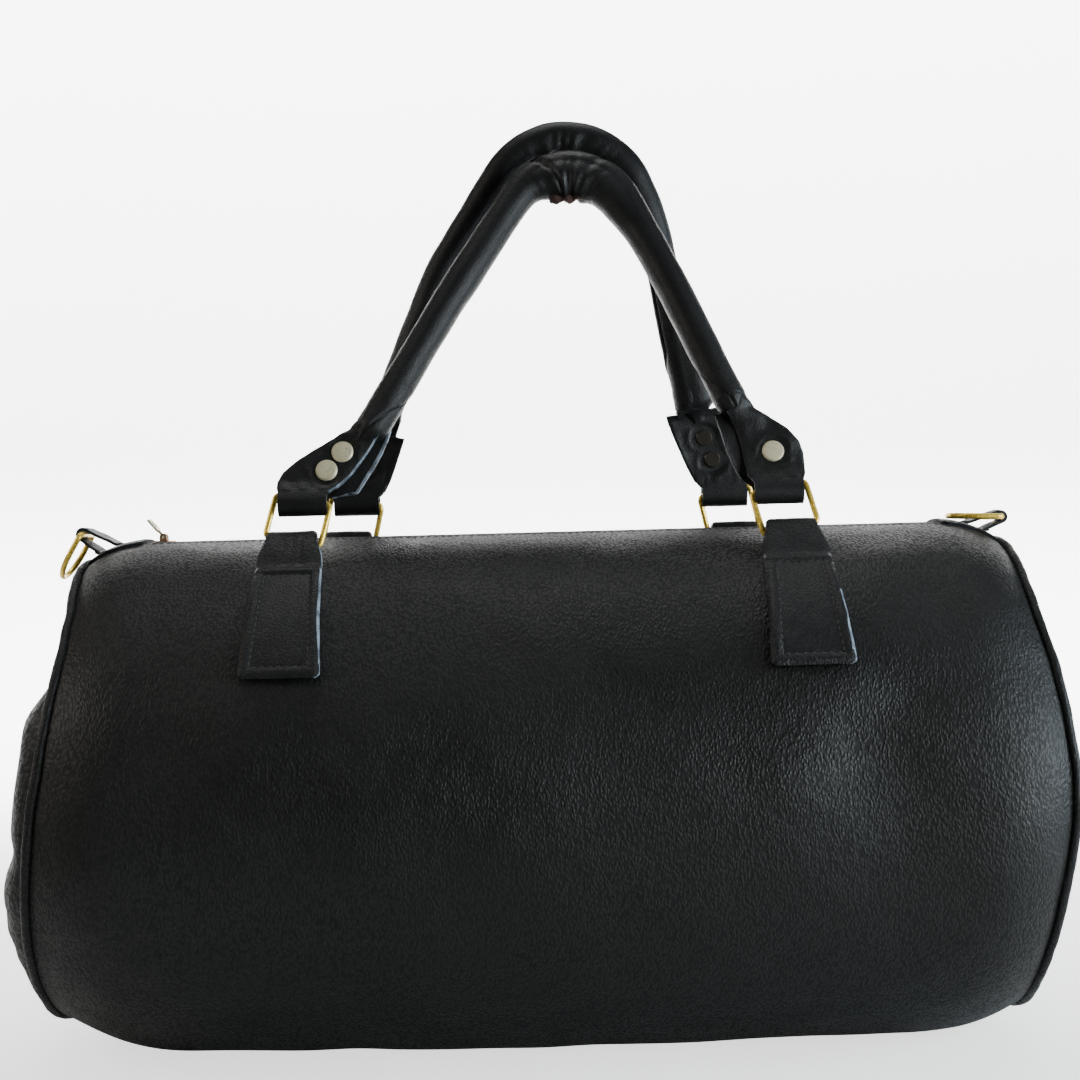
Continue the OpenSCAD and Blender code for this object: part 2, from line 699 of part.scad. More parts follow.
body_panel();
body_lining();
end_panel(true);  // left_end_panel
end_panel(false);  // right_end_panel
end_lining(true);  // left_end_lining
end_lining(false);  // right_end_lining
piping(true);  // left_piping
piping(false);  // right_piping
zip_tape_frame();
zip_stops();
zip_end(true);  // left_zip_end
zip_end(false);  // right_zip_end
mirror([0, 1, 0]) zip_tape();  // front_zip_tape
mirror([0, 1, 0]) zip_teeth(0);  // front_zip_teeth
zip_tape();  // rear_zip_tape
zip_teeth(tooth_pitch / 2);  // rear_zip_teeth
zip_slider();
zip_pull();
d_loop(true);  // left_d_loop
d_loop(false);  // right_d_loop
left_d_ring();
right_d_ring();
patch(true, -front_span / 2);  // front_left_patch
patch(true, front_span / 2);  // front_right_patch
patch(false, -rear_span / 2);  // rear_left_patch
patch(false, rear_span / 2);  // rear_right_patch
handle_ring(true, true);  // front_left_ring
handle_ring(true, false);  // front_right_ring
handle_ring(false, true);  // rear_left_ring
handle_ring(false, false);  // rear_right_ring
grip(true);  // front_grip
cord(true);  // front_cord
tab(true, true);  // front_left_tab
tab(true, false);  // front_right_tab
rivets(true);  // front_rivets
grip(false);  // rear_grip
cord(false);  // rear_cord
tab(false, true);  // rear_left_tab
tab(false, false);  // rear_right_tab
rivets(false);  // rear_rivets
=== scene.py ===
import json
import math

import bpy
import numpy as np
from mathutils import Euler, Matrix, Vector


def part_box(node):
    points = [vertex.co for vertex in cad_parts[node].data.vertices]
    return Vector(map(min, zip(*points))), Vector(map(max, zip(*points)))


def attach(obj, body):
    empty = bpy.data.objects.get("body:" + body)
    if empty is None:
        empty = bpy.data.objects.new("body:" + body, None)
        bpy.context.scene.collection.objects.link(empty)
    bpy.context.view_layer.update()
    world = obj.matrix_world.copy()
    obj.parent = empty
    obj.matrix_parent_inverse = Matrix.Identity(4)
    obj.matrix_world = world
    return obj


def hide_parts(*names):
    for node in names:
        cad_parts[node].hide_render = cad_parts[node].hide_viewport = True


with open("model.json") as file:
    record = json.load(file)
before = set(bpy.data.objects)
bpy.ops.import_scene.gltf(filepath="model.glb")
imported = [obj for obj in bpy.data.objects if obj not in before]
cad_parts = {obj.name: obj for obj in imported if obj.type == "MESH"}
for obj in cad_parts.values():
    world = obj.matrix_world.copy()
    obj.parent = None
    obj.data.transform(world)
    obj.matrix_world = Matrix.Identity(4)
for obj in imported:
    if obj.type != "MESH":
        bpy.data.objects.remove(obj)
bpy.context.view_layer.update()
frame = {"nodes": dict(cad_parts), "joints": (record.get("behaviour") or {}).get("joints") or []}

bl_info = {
    "name": "Leather Barrel Bag",
    "version": (1, 0, 0),
    "blender": (4, 5, 0),
    "location": "View3D > Sidebar > Barrel Bag",
    "description": "Dresses a packed barrel bag in leather, brass, thread and cloth",
    "category": "Object",
}

MM = 0.001
# Width of a camera's full-frame sensor, in millimetres
FULL_FRAME = 36


def joint_place(name):
    """Where a joint of the frame turns, as an array."""
    return np.array(next(j["pos_m"] for j in frame["joints"] if j["name"] == name))


def node_size(node, axis):
    low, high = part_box(node)
    return high[axis] - low[axis]


# Where the rings and the handles turn, keyed by whether it is the front one, and where the D-rings
# turn, keyed by whether it is the left one
PIVOTS = {True: joint_place("front_left_ring_swing"), False: joint_place("rear_left_ring_swing")}
BARS = {True: joint_place("front_handle_swing"), False: joint_place("rear_handle_swing")}
D_BARS = {True: joint_place("left_d_ring_swing"), False: joint_place("right_d_ring_swing")}
ZIP_HINGE = joint_place("rear_zip_side_lift")


# Sizes, colours and settings that a user would change

def length(name, default, description):
    return bpy.props.FloatProperty(
        name=name, description=description, default=default, unit="LENGTH", precision=5)


def angle(name, degrees, description):
    return bpy.props.FloatProperty(
        name=name, description=description, default=math.radians(degrees), unit="ROTATION")


def colour(name, default, description):
    return bpy.props.FloatVectorProperty(
        name=name, description=description, default=default, subtype="COLOR", size=3, min=0, max=1)


class BarrelSizes(bpy.types.PropertyGroup):
    """Sizes of the stuffed barrel"""
    seam_to_seam: length("Seam to seam", node_size("body_panel", 0), "Length between the end seams")
    radius: length("Radius", node_size("body_panel", 1) / 2, "Radius of the barrel")
    floor_press: length("Floor press", 6 * MM, "How much of the barrel the floor presses flat")
    shoulder: length("Shoulder", 34 * MM, "Length of the rounded shoulder beside an end seam")
    shoulder_in: length("Shoulder draw", 10 * MM, "How far the shoulder draws in at the end seam")
    leather: length("Leather", 2 * MM, "Thickness of the body leather")
    lining: length("Lining", 0.8 * MM, "Thickness of the lining cloth")
    gap: length("Top gap", 27 * MM, "Width of the gap that the zip fills")
    zip_half: length("Half zip", 206.5 * MM, "Half the length of the zip")
    left_swell: length("Left swell", 21 * MM, "How far the left end panel swells out")
    right_swell: length("Right swell", 10 * MM, "How far the right end panel swells out")
    welt: length("Welt", 4.5 * MM, "Thickness of the welt along each end seam")
    tape: length("Tape", 0.7 * MM, "Thickness of the zip's tape")
    strap: length("Strap leather", 1.8 * MM, "Thickness of the patches, tabs and loops")
    ring_bore: length("Ring bore", 4.4 * MM, "Radius of the folds that hold the rectangular rings")
    patch_length: length("Patch length", 90 * MM, "Length of a patch from its ring down")
    patch_low: length("Patch foot", 39 * MM, "Width of a patch at its lower edge")
    patch_top: length("Patch top", 31.5 * MM, "Width of a patch below its ring")


class HandleSizes(bpy.types.PropertyGroup):
    """Sizes of the two rolled handles"""
    grip: length("Grip", 17 * MM, "Thickness of a rolled handle")
    front_peak: length("Front peak", 220 * MM, "Height at which the front legs would meet")
    rear_peak: length("Rear peak", 242 * MM, "Height at which the rear legs would meet")
    front_shift: length("Front shift", 24 * MM, "Sideways shift of the top of the front handle")
    rear_shift: length("Rear shift", 26.5 * MM, "Sideways shift of the top of the rear handle")
    front_bend: length("Front bend", 32 * MM, "Radius of the bend at the top of the front handle")
    rear_bend: length("Rear bend", 42 * MM, "Radius of the bend at the top of the rear handle")
    elbow_bend: length("Elbow bend", 120 * MM, "Radius of the gentle bend low on each leg")
    tab: length("Tab", 53 * MM, "Length of a tab from its ring to the rolled part")
    front_left: angle("Front left slant", 42, "Slant of the front handle's left tab")
    front_right: angle("Front right slant", 24, "Slant of the front handle's right tab")
    rear: angle("Rear slant", 20, "Slant of the rear handle's tabs")


class BagColours(bpy.types.PropertyGroup):
    """Colours of the leather, metal, thread and cloth"""
    leather: colour("Leather", (0.0042, 0.0043, 0.0036), "Black of the body leather")
    leather_worn: colour("Worn leather", (0.0105, 0.0107, 0.0095), "Leather rubbed lighter")
    strap: colour("Strap leather", (0.0048, 0.0048, 0.005), "Black of the straps and handles")
    # Raw edges: the cut edge is real, but its pale bluish tone is a painted highlight of light from
    # the right
    raw_edge: colour("Raw edge", (0.27, 0.33, 0.4), "Rubbed cut edges of the leather")
    cut_edge: colour("Cut edge", (0.013, 0.015, 0.018), "Dyed cut edges of the leather")
    frayed: colour("Frayed leather", (0.075, 0.035, 0.028), "Frayed bit under the front handle")
    thread: colour("Thread", (0.012, 0.012, 0.013), "Sewing thread")
    brass: colour("Ring brass", (0.9, 0.62, 0.1), "Polished brass of the rings")
    pale_brass: colour("Rivet brass", (0.83, 0.75, 0.5), "Pale brass of the rivets and pull")
    zip_metal: colour("Zip metal", (0.34, 0.19, 0.1), "Reddish antique metal of the zip")
    tape: colour("Zip tape", (0.012, 0.012, 0.014), "Woven tape of the zip")
    lining: colour("Lining", (0.03, 0.03, 0.034), "Woven lining")
    cord: colour("Cord", (0.55, 0.46, 0.33), "Twisted cord inside the handles")


class StageSettings(bpy.types.PropertyGroup):
    """Camera, floor and light"""
    distance: length("Camera distance", 969 * MM, "From the camera to the bag's middle plane")
    height: length("Camera height", 253 * MM, "Height of the camera over the floor")
    aside: length("Camera aside", -1 * MM, "How far the camera is aimed to the right of the middle")
    yaw: angle("Camera yaw", 0, "Turn of the camera round the bag towards its left end")
    roll: angle("Camera roll", 1.5, "Roll of the camera")
    lens: bpy.props.FloatProperty(name="Lens", description="Focal length", default=61.7)
    pale: colour("Pale floor", (0.83, 0.83, 0.82), "Floor and backdrop")


def barrel():
    return bpy.context.scene.bag_barrel


def handles():
    return bpy.context.scene.bag_handles


def colours():
    return bpy.context.scene.bag_colours


def face_name(front):
    return "front" if front else "rear"


def side_name(left):
    return "left" if left else "right"


def handle_bar(front):
    """Distance from the bag's middle to the bars that a handle hangs on."""
    return abs(BARS[front][0])


# Working with Blender's tools

def deselect():
    if bpy.context.object and bpy.context.object.mode != "OBJECT":
        bpy.ops.object.mode_set(mode="OBJECT")
    bpy.ops.object.select_all(action="DESELECT")


def pick(piece):
    deselect()
    piece.select_set(True)
    bpy.context.view_layer.objects.active = piece


def edit(piece, *steps):
    """Runs edit-mode steps on all of a piece."""
    pick(piece)
    bpy.ops.object.mode_set(mode="EDIT")
    bpy.ops.mesh.select_all(action="SELECT")
    for step in steps:
        step()
    bpy.ops.object.mode_set(mode="OBJECT")


def points_of(piece):
    flat = np.empty(len(piece.data.vertices) * 3)
    piece.data.vertices.foreach_get("co", flat)
    return flat.reshape(-1, 3)


def move_points(piece, points):
    piece.data.vertices.foreach_set("co", np.asarray(points, np.float32).ravel())
    piece.data.update()


def cut_sheet(name, columns, rows, place, raw=None):
    """A grid whose points go where place(u, v) says, with u and v from 0 to 1.

    Faces that the given mask marks take the third material: a raw edge with a painted highlight,
    pale where light falls on it."""
    deselect()
    bpy.ops.mesh.primitive_grid_add(x_subdivisions=columns, y_subdivisions=rows, size=2)
    piece = bpy.context.object
    piece.name = piece.data.name = name
    if raw:
        middle = np.empty(len(piece.data.polygons) * 3)
        piece.data.polygons.foreach_get("center", middle)
        middle = middle.reshape(-1, 3)
        cut = raw((middle[:, 0] + 1) / 2, (middle[:, 1] + 1) / 2)
        piece.data.polygons.foreach_set("material_index", 2 * cut.astype(np.int32))
    flat = points_of(piece)
    move_points(piece, place((flat[:, 0] + 1) / 2, (flat[:, 1] + 1) / 2))
    return piece


def sew_shut(piece, within=0.02 * MM):
    """Merges the points of a piece's closed seams and poles."""
    edit(piece, lambda: bpy.ops.mesh.remove_doubles(threshold=within))


def modify(piece, kind, **settings):
    pick(piece)
    modifier = piece.modifiers.new(kind.title(), kind)
    for key, value in settings.items():
        setattr(modifier, key, value)
    bpy.ops.object.modifier_apply(modifier=modifier.name)


def smooth(piece, degrees=50):
    pick(piece)
    bpy.ops.object.shade_smooth_by_angle(angle=math.radians(degrees))


def dress(piece, *finishes):
    """Gives a piece its materials, in the order of its slots."""
    for name in finishes:
        piece.data.materials.append(finish(name))


def thicken(piece, thickness, offset=0.0):
    """Gives a sheet its thickness; its cut edges take the second material, if it has one."""
    modify(piece, "SOLIDIFY", thickness=thickness, offset=offset, use_even_offset=True,
           material_offset_rim=min(1, len(piece.data.materials) - 1))


def settle(piece, body, slot, *nodes):
    """A finished piece rides on its body and stands for its CAD nodes."""
    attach(piece, body)
    if nodes:
        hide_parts(*nodes)


def make_sheet(piece, finishes, thickness, settled, offset=0.0, shut=False):
    """Finishes a cut sheet: closes its seam, dresses, thickens and smooths it, and settles it."""
    if shut:
        sew_shut(piece)
    dress(piece, *finishes)
    thicken(piece, thickness, offset)
    smooth(piece)
    settle(piece, *settled)


def make_tube(piece, finish_name, settled, degrees=50):
    """Finishes a swept tube: closes its seam and turns its faces outwards, then settles it."""
    sew_shut(piece)
    edit(piece, lambda: bpy.ops.mesh.normals_make_consistent(inside=False))
    smooth(piece, degrees)
    dress(piece, finish_name)
    settle(piece, *settled)


def turned_over(place, over=True):
    """The same places with u running the other way, so that the sheet's outside faces out."""
    return (lambda u, v: place(1 - u, v)) if over else place


def take_shape():
    """Points and faces of the object that was just added, which goes away again."""
    piece = bpy.context.object
    points = points_of(piece)
    faces = [tuple(face.vertices) for face in piece.data.polygons]
    bpy.data.objects.remove(piece)
    return points, faces


def many_copies(name, copies, faces, degrees):
    """One piece of many copies of a shape, each given by its points."""
    count = len(copies[0])
    mesh = bpy.data.meshes.new(name)
    mesh.from_pydata(np.concatenate(copies).tolist(), [],
                     [tuple(first * count + k for k in face)
                      for first in range(len(copies)) for face in faces])
    piece = bpy.data.objects.new(name, mesh)
    bpy.context.scene.collection.objects.link(piece)
    smooth(piece, degrees)
    return piece


# Shapes shared by many pieces

def ease(value, start, end):
    """From 0 at start to 1 at end, smoothly."""
    t = np.clip((value - start) / (end - start), 0, 1)
    return t * t * (3 - 2 * t)


def bump(value, centre, reach):
    return np.exp(-((value - centre) / reach) ** 2)


def ripple(points, size, seed, waves=6):
    """Soft irregular waves of about one size, from -1 to 1, the same on each run."""
    dice = np.random.default_rng(seed)
    total = np.zeros(len(points))
    for _ in range(waves):
        way = dice.normal(size=3)
        way *= 2 * math.pi / (size * dice.uniform(0.7, 1.5) * np.linalg.norm(way))
        total += np.sin(points @ way + dice.uniform(0, 2 * math.pi))
    return total / math.sqrt(waves * 2)


def shoulder_radius(x):
    b = barrel()
    past = np.clip(np.abs(x) - (b.seam_to_seam / 2 - b.shoulder), 0, b.shoulder)
    curve = (b.shoulder ** 2 + b.shoulder_in ** 2) / (2 * b.shoulder_in)
    return b.radius - curve + np.sqrt(curve ** 2 - past ** 2)


# Dents of the leather: place along the barrel, turn from the top in degrees, reach along, reach
# round in degrees, depth. A negative depth is a swelling.
DENTS = (
    (0.150, 76, 0.030, 18, 4.4),
    (0.112, 86, 0.030, 14, -1.8),
    (0.196, 42, 0.030, 14, 1.8),
    (0.090, 112, 0.070, 20, -2.6),
    (-0.050, 96, 0.110, 30, -2.6),
    (-0.186, 58, 0.040, 22, 2.0),
    (-0.196, 104, 0.050, 22, -2.4),
    (0.060, 62, 0.060, 16, 1.6),
    (-0.060, 52, 0.060, 16, 1.0),
    (0.204, 112, 0.030, 26, -2.2),
)


def slack(x, turn):
    """How far the leather stands out from the plain barrel, in metres."""
    b = barrel()
    degrees = np.degrees(turn)
    around = np.column_stack([x, -b.radius * np.sin(turn), b.radius * np.cos(turn)])
    out = (1.3 * ripple(around, 0.16, 3) + 0.7 * ripple(around, 0.07, 5)
           + 0.28 * ripple(around, 0.03, 8))
    for place, at, along, round_, depth in DENTS:
        out -= depth * bump(x, place, along) * bump(degrees, at, round_)
        rear_depth = 0.8 * depth
        out -= rear_depth * bump(x, -0.8 * place, along) * bump(degrees, 360 - at - 8, round_)
    from_top = np.minimum(degrees, 360 - degrees)
    span = np.where(degrees < 180, PIVOTS[True][0], PIVOTS[False][0])
    held = bump(np.abs(x), abs(span), 0.036) * (1 - ease(from_top, 58, 76))
    half = b.seam_to_seam / 2
    still = (1 - ease(from_top, 8, 30)) + held + ease(np.abs(x), half - 0.006, half)
    fold = 0.8 * bump(from_top, 66, 7) * bump(np.abs(x), abs(span) + 0.012, 0.022)
    full = 1.6 * bump(x, 0, 0.15) * ease(from_top, 40, 100)
    return (out * (1 - np.clip(still, 0, 1)) + fold + full) * MM


# How far each end seam leans outwards at a height, in millimetres
LEFT_LEAN = np.array([
    (0, 10.0), (20, 10.0), (45, 9.3), (68, 8.2), (94, 6.2), (117, 3.8), (135, 1.4),
    (152, -1.2), (180, -4.3), (192, -5.6), (206, -7.0), (223, -6.8), (238, -3.6), (251, 0)])
RIGHT_LEAN = np.array([
    (0, -3.2), (35, -3.0), (54, -2.0), (80, 0.6), (100, 3.4), (120, 5.4), (141, 5.9),
    (167, 4.2), (192, 1.4), (209, -1.0), (223, -1.6), (238, -0.9), (251, 0)])


def end_lean(x, z):
    """How far points near the ends lean outwards, as the photograph's seams do."""
    half = barrel().seam_to_seam / 2
    left = ease(-x, half - 0.13, half) * np.interp(z / MM, *LEFT_LEAN.T)
    right = ease(x, half - 0.13, half) * np.interp(z / MM, *RIGHT_LEAN.T)
    return (right - left) * MM


def on_floor(z, press):
    """Flattens what would sink into the floor, with a soft corner."""
    soft = 4 * MM
    lift = 0.5 * (math.hypot(press, soft) - press)
    return 0.5 * (z + np.sqrt(z * z + soft * soft)) - lift


def barrel_point(x, turn, lift=0.0):
    """Points over the leather: x along it, turn from the top towards the front, lift off it."""
    b = barrel()
    x = np.asarray(x, float) + 0 * np.asarray(turn, float)
    turn = np.asarray(turn, float) + 0 * x
    radius = shoulder_radius(x) + slack(x, turn)
    axis = b.radius - b.floor_press
    z = on_floor(axis + radius * np.cos(turn), b.floor_press)
    low = 1 - ease(z, 0, 70 * MM)
    bulge = 0.022 * low
    y = -radius * np.sin(turn) * (1 + bulge)
    half = b.seam_to_seam / 2
    left_up, right_up = 11 * MM, 5 * MM
    drawn_up = (left_up * ease(-x, half - 0.07, half) ** 1.6
                + right_up * ease(x, half - 0.06, half))
    z = z + drawn_up * (1 - ease(z, 0, 0.1))
    place = np.column_stack([x + end_lean(x, z), y, z])
    out = np.column_stack([0 * x, -np.sin(turn), np.cos(turn)])
    return place + out * np.reshape(lift + 0 * x, (-1, 1))


def gap_turn(x, edge):
    """Turn of a line that runs beside the top gap, at a distance from its middle."""
    return np.arcsin(edge / shoulder_radius(x))


def sample_path(corners, bends, step):
    """Even points along straight runs joined by arcs, in a plane."""
    corners = [np.array(c, float) for c in corners]
    dense, last = [], corners[0]
    for before, at, after, bend in zip(corners, corners[1:], corners[2:], bends):
        into = (at - before) / np.linalg.norm(at - before)
        out = (after - at) / np.linalg.norm(after - at)
        turn = math.atan2(into[0] * out[1] - into[1] * out[0], into @ out)
        start = at - into * bend * math.tan(abs(turn) / 2)
        side = np.array([-into[1], into[0]]) * (1 if turn > 0 else -1)
        centre = start + side * bend
        first = math.atan2(*(start - centre)[::-1])
        dense += list(np.linspace(last, start, 60, endpoint=False))
        dense += [centre + bend * np.array([math.cos(t), math.sin(t)])
                  for t in np.linspace(first, first + turn, 90)]
        last = dense[-1]
    dense += list(np.linspace(last, corners[-1], 60))
    return even(np.array(dense), step)


def read_rows(at, places, rows):
    """Every column of a table, read at places between its rows."""
    return np.column_stack([np.interp(at, places, column) for column in rows.T])


def even(points, step):
    """The same path with its points evenly apart."""
    run = np.concatenate([[0], np.cumsum(np.linalg.norm(np.diff(points, axis=0), axis=1))])
    keep = np.concatenate([[True], np.diff(run) > 1e-9])
    count = max(2, int(round(run[-1] / step)) + 1)
    at = np.linspace(0, run[-1], count)
    return read_rows(at, run[keep], points[keep])


def soften(points, passes):
    """Rounds the corners of a path, its ends kept."""
    for _ in range(passes):
        inner = (points[:-2] + 2 * points[1:-1] + points[2:]) / 4
        points = np.concatenate([points[:1], inner, points[-1:]])
    return points


def along_path(points, share):
    """Places at shares, from 0 to 1, along a path of even points."""
    at = np.clip(share, 0, 1) * (len(points) - 1)
    return read_rows(at, np.arange(len(points)), points)


def unit_rows(rows):
    return rows / np.maximum(np.linalg.norm(rows, axis=1, keepdims=True), 1e-12)


# Sewing

# Air between a sewn strap and the leather below it
AIR = 0.1 * MM
STITCH = 3.6 * MM
# Share of a stitch's length that shows as thread
STITCH_SHARE = 0.7
THREAD = 0.75 * MM


def stitch_shape():
    """One stitch lying along X, as points and faces."""
    deselect()
    bpy.ops.mesh.primitive_uv_sphere_add(segments=6, ring_count=4, radius=0.5)
    points, faces = take_shape()
    return points[:, [2, 0, 1]], faces


def sew(name, lines, body, slot):
    """Rows of stitches as one piece. A line is its points and the surface's normals there."""
    shape, faces = stitch_shape()
    copies = []
    for points, normals in lines:
        run = np.linalg.norm(np.diff(points, axis=0), axis=1).sum()
        count = max(1, int(run / STITCH))
        share = (np.arange(count) + 0.5) / count
        centre = along_path(points, share)
        ahead = unit_rows(along_path(points, share + 0.002) - along_path(points, share - 0.002))
        up = along_path(normals, share)
        up = unit_rows(up - ahead * np.sum(up * ahead, axis=1, keepdims=True))
        side = np.cross(up, ahead)
        copies += [c + shape[:, :1] * a * STITCH * STITCH_SHARE + shape[:, 1:2] * s * THREAD
                   + shape[:, 2:] * u * THREAD for c, a, u, s in zip(centre, ahead, up, side)]
    piece = many_copies(name, copies, faces, 80)
    dress(piece, "thread")
    settle(piece, body, slot)


def barrel_line(x, turn, lift, step=1.2 * MM):
    """A sewing line over the barrel, given by a few places along it."""
    x, turn = np.asarray(x, float), np.asarray(turn, float)
    share = np.linspace(0, 1, 160)
    knots = np.linspace(0, 1, len(x))
    xs, turns = np.interp(share, knots, x), np.interp(share, knots, turn)
    low, high = barrel_point(xs, turns, lift), barrel_point(xs, turns, lift + MM)
    line = even(np.hstack([low, high - low]), step)
    return line[:, :3], unit_rows(line[:, 3:])


# Shader nodes

def fill(tree, made, values):
    """Links or fills a node's inputs."""
    for key, value in values.items():
        if isinstance(value, bpy.types.NodeSocket):
            tree.links.new(value, made.inputs[key])
        else:
            made.inputs[key].default_value = value
    return made


def node(tree, kind, values=None, **settings):
    """Adds a node, sets it up, and links or fills its inputs."""
    made = tree.nodes.new(kind)
    for key, value in settings.items():
        setattr(made, key, value)
    return fill(tree, made, values or {})


def math_node(tree, operation, first, second=0.0, third=0.0, clamp=False):
    made = node(tree, "ShaderNodeMath", {0: first, 1: second, 2: third}, operation=operation)
    made.use_clamp = clamp
    return made.outputs[0]


def vector_node(tree, operation, first, second):
    return node(tree, "ShaderNodeVectorMath", {0: first, 1: second}, operation=operation).outputs


def noise(tree, where, scale, detail, roughness=0.5):
    return node(tree, "ShaderNodeTexNoise", {
        "Vector": where, "Scale": scale, "Detail": detail, "Roughness": roughness}).outputs["Fac"]


def ramp(tree, value, low, high, to_low=0.0, to_high=1.0):
    made = node(tree, "ShaderNodeMapRange", {
        "Value": value, "From Min": low, "From Max": high, "To Min": to_low, "To Max": to_high},
        interpolation_type="SMOOTHSTEP")
    return made.outputs["Result"]


def scaled(tint, factor):
    return [factor * k for k in tint]


def blend(tree, share, first, second):
    """Mixes two colours, each given as a socket or as red, green and blue."""
    made = node(tree, "ShaderNodeMix", {0: share}, data_type="RGBA")
    for socket, value in ((6, first), (7, second)):
        linked = isinstance(value, bpy.types.NodeSocket)
        fill(tree, made, {socket: value if linked else (*value, 1.0)})
    return made.outputs[2]


def new_group(name, inputs, outputs):
    """An empty node group with named inputs, each with its kind and default, and outputs."""
    tree = bpy.data.node_groups.new(name, "ShaderNodeTree")
    for label, (kind, default) in inputs.items():
        socket = tree.interface.new_socket(label, in_out="INPUT", socket_type=kind)
        if default is not None:
            socket.default_value = default
    for label in outputs:
        tree.interface.new_socket(label, in_out="OUTPUT", socket_type="NodeSocketFloat")
    return tree, tree.nodes.new("NodeGroupInput").outputs, tree.nodes.new("NodeGroupOutput").inputs


def pebble_group():
    """Pebbled leather: rounded cells with creases between them and fine pores."""
    tree, given, result = new_group("pebbled_leather", {
        "Vector": ("NodeSocketVector", None),
        "Cells": ("NodeSocketFloat", 620.0),
        "Drawn Out": ("NodeSocketFloat", 1.7),
    }, ("Height", "Crease"))
    spread = node(tree, "ShaderNodeCombineXYZ", {"X": given["Drawn Out"], "Y": 1.0, "Z": 1.0})
    drawn = vector_node(tree, "MULTIPLY", given["Vector"], spread.outputs[0])[0]
    wander = node(tree, "ShaderNodeTexNoise", {"Vector": drawn, "Scale": 210.0, "Detail": 2.0})
    strength = node(tree, "ShaderNodeVectorMath", {
        0: wander.outputs["Color"], "Scale": 0.0022}, operation="SCALE")
    bent = vector_node(tree, "ADD", drawn, strength.outputs[0])[0]
    cells = node(tree, "ShaderNodeTexVoronoi", {
        "Vector": bent, "Scale": given["Cells"], "Smoothness": 0.35}, feature="SMOOTH_F1")
    small = node(tree, "ShaderNodeTexVoronoi", {
        "Vector": bent, "Scale": math_node(tree, "MULTIPLY", given["Cells"], 2.3)},
        feature="SMOOTH_F1")
    pores = noise(tree, given["Vector"], 2600.0, 2.0)
    dome = ramp(tree, cells.outputs["Distance"], 0.1, 0.75, 1.0, 0.0)
    fine = math_node(tree, "MULTIPLY", small.outputs["Distance"], -0.3)
    grainy = math_node(tree, "MULTIPLY_ADD", pores, 0.12, fine)
    tree.links.new(math_node(tree, "ADD", dome, grainy), result["Height"])
    tree.links.new(ramp(tree, cells.outputs["Distance"], 0.42, 0.7), result["Crease"])
    return tree


def wear_group():
    """Uneven handling: broad cloudy patches, and small rubbed flecks."""
    tree, given, result = new_group("handling_wear", {
        "Vector": ("NodeSocketVector", None),
        "Cloud Size": ("NodeSocketFloat", 9.0),
    }, ("Cloud", "Flecks"))
    cloud = noise(tree, given["Vector"], given["Cloud Size"], 4.0, 0.6)
    tree.links.new(ramp(tree, cloud, 0.34, 0.68), result["Cloud"])
    fine = noise(tree, given["Vector"], 420.0, 3.0)
    tree.links.new(ramp(tree, fine, 0.56, 0.74), result["Flecks"])
    return tree


def weave_group():
    """Yarns that cross at right angles, from two wave patterns that take turns on top."""
    tree, given, result = new_group("woven_yarn", {
        "Vector": ("NodeSocketVector", None),
        "Yarns": ("NodeSocketFloat", 1400.0),
        "Slant": ("NodeSocketFloat", 0.5),
    }, ("Height",))
    parts = node(tree, "ShaderNodeSeparateXYZ", {"Vector": given["Vector"]})
    slanted = math_node(tree, "MULTIPLY", parts.outputs["Y"], given["Slant"])
    across = math_node(tree, "ADD", parts.outputs["X"], slanted)
    waves = []
    for socket in (across, parts.outputs["Y"]):
        turn = math_node(tree, "MULTIPLY", socket, given["Yarns"])
        waves.append(math_node(tree, "SINE", math_node(tree, "MULTIPLY", turn, 2 * math.pi)))
    crossed = math_node(tree, "MULTIPLY", *waves)
    tree.links.new(math_node(tree, "MULTIPLY_ADD", crossed, 0.5, 0.5), result["Height"])
    return tree


GROUP_MAKERS = {
    "pebbled_leather": pebble_group, "handling_wear": wear_group, "woven_yarn": weave_group}


def place_group(tree, name, values):
    made = tree.nodes.new("ShaderNodeGroup")
    made.node_tree = bpy.data.node_groups.get(name) or GROUP_MAKERS[name]()
    return fill(tree, made, values).outputs


def new_material(name):
    material = bpy.data.materials.new("bag_" + name)
    material.use_nodes = True
    tree = material.node_tree
    shader = next(n for n in tree.nodes if n.type == "BSDF_PRINCIPLED")
    return tree, shader, node(tree, "ShaderNodeTexCoord").outputs["Object"]


def raise_surface(tree, shader, *heights):
    """Chains bumps: each is a height, its depth in metres and its strength."""
    normal = None
    for height, depth, strength in heights:
        values = {"Height": height, "Distance": depth, "Strength": strength}
        if normal is not None:
            values["Normal"] = normal
        normal = node(tree, "ShaderNodeBump", values).outputs["Normal"]
    tree.links.new(normal, shader.inputs["Normal"])


# Painted shade: the near-black that the creases between pebbles are darkened towards
CREASE_SHADE = (0.003, 0.003, 0.0035)
FIBRE_DARK = (0.02, 0.022, 0.026)
RIVET_BACK = (0.035, 0.03, 0.022)


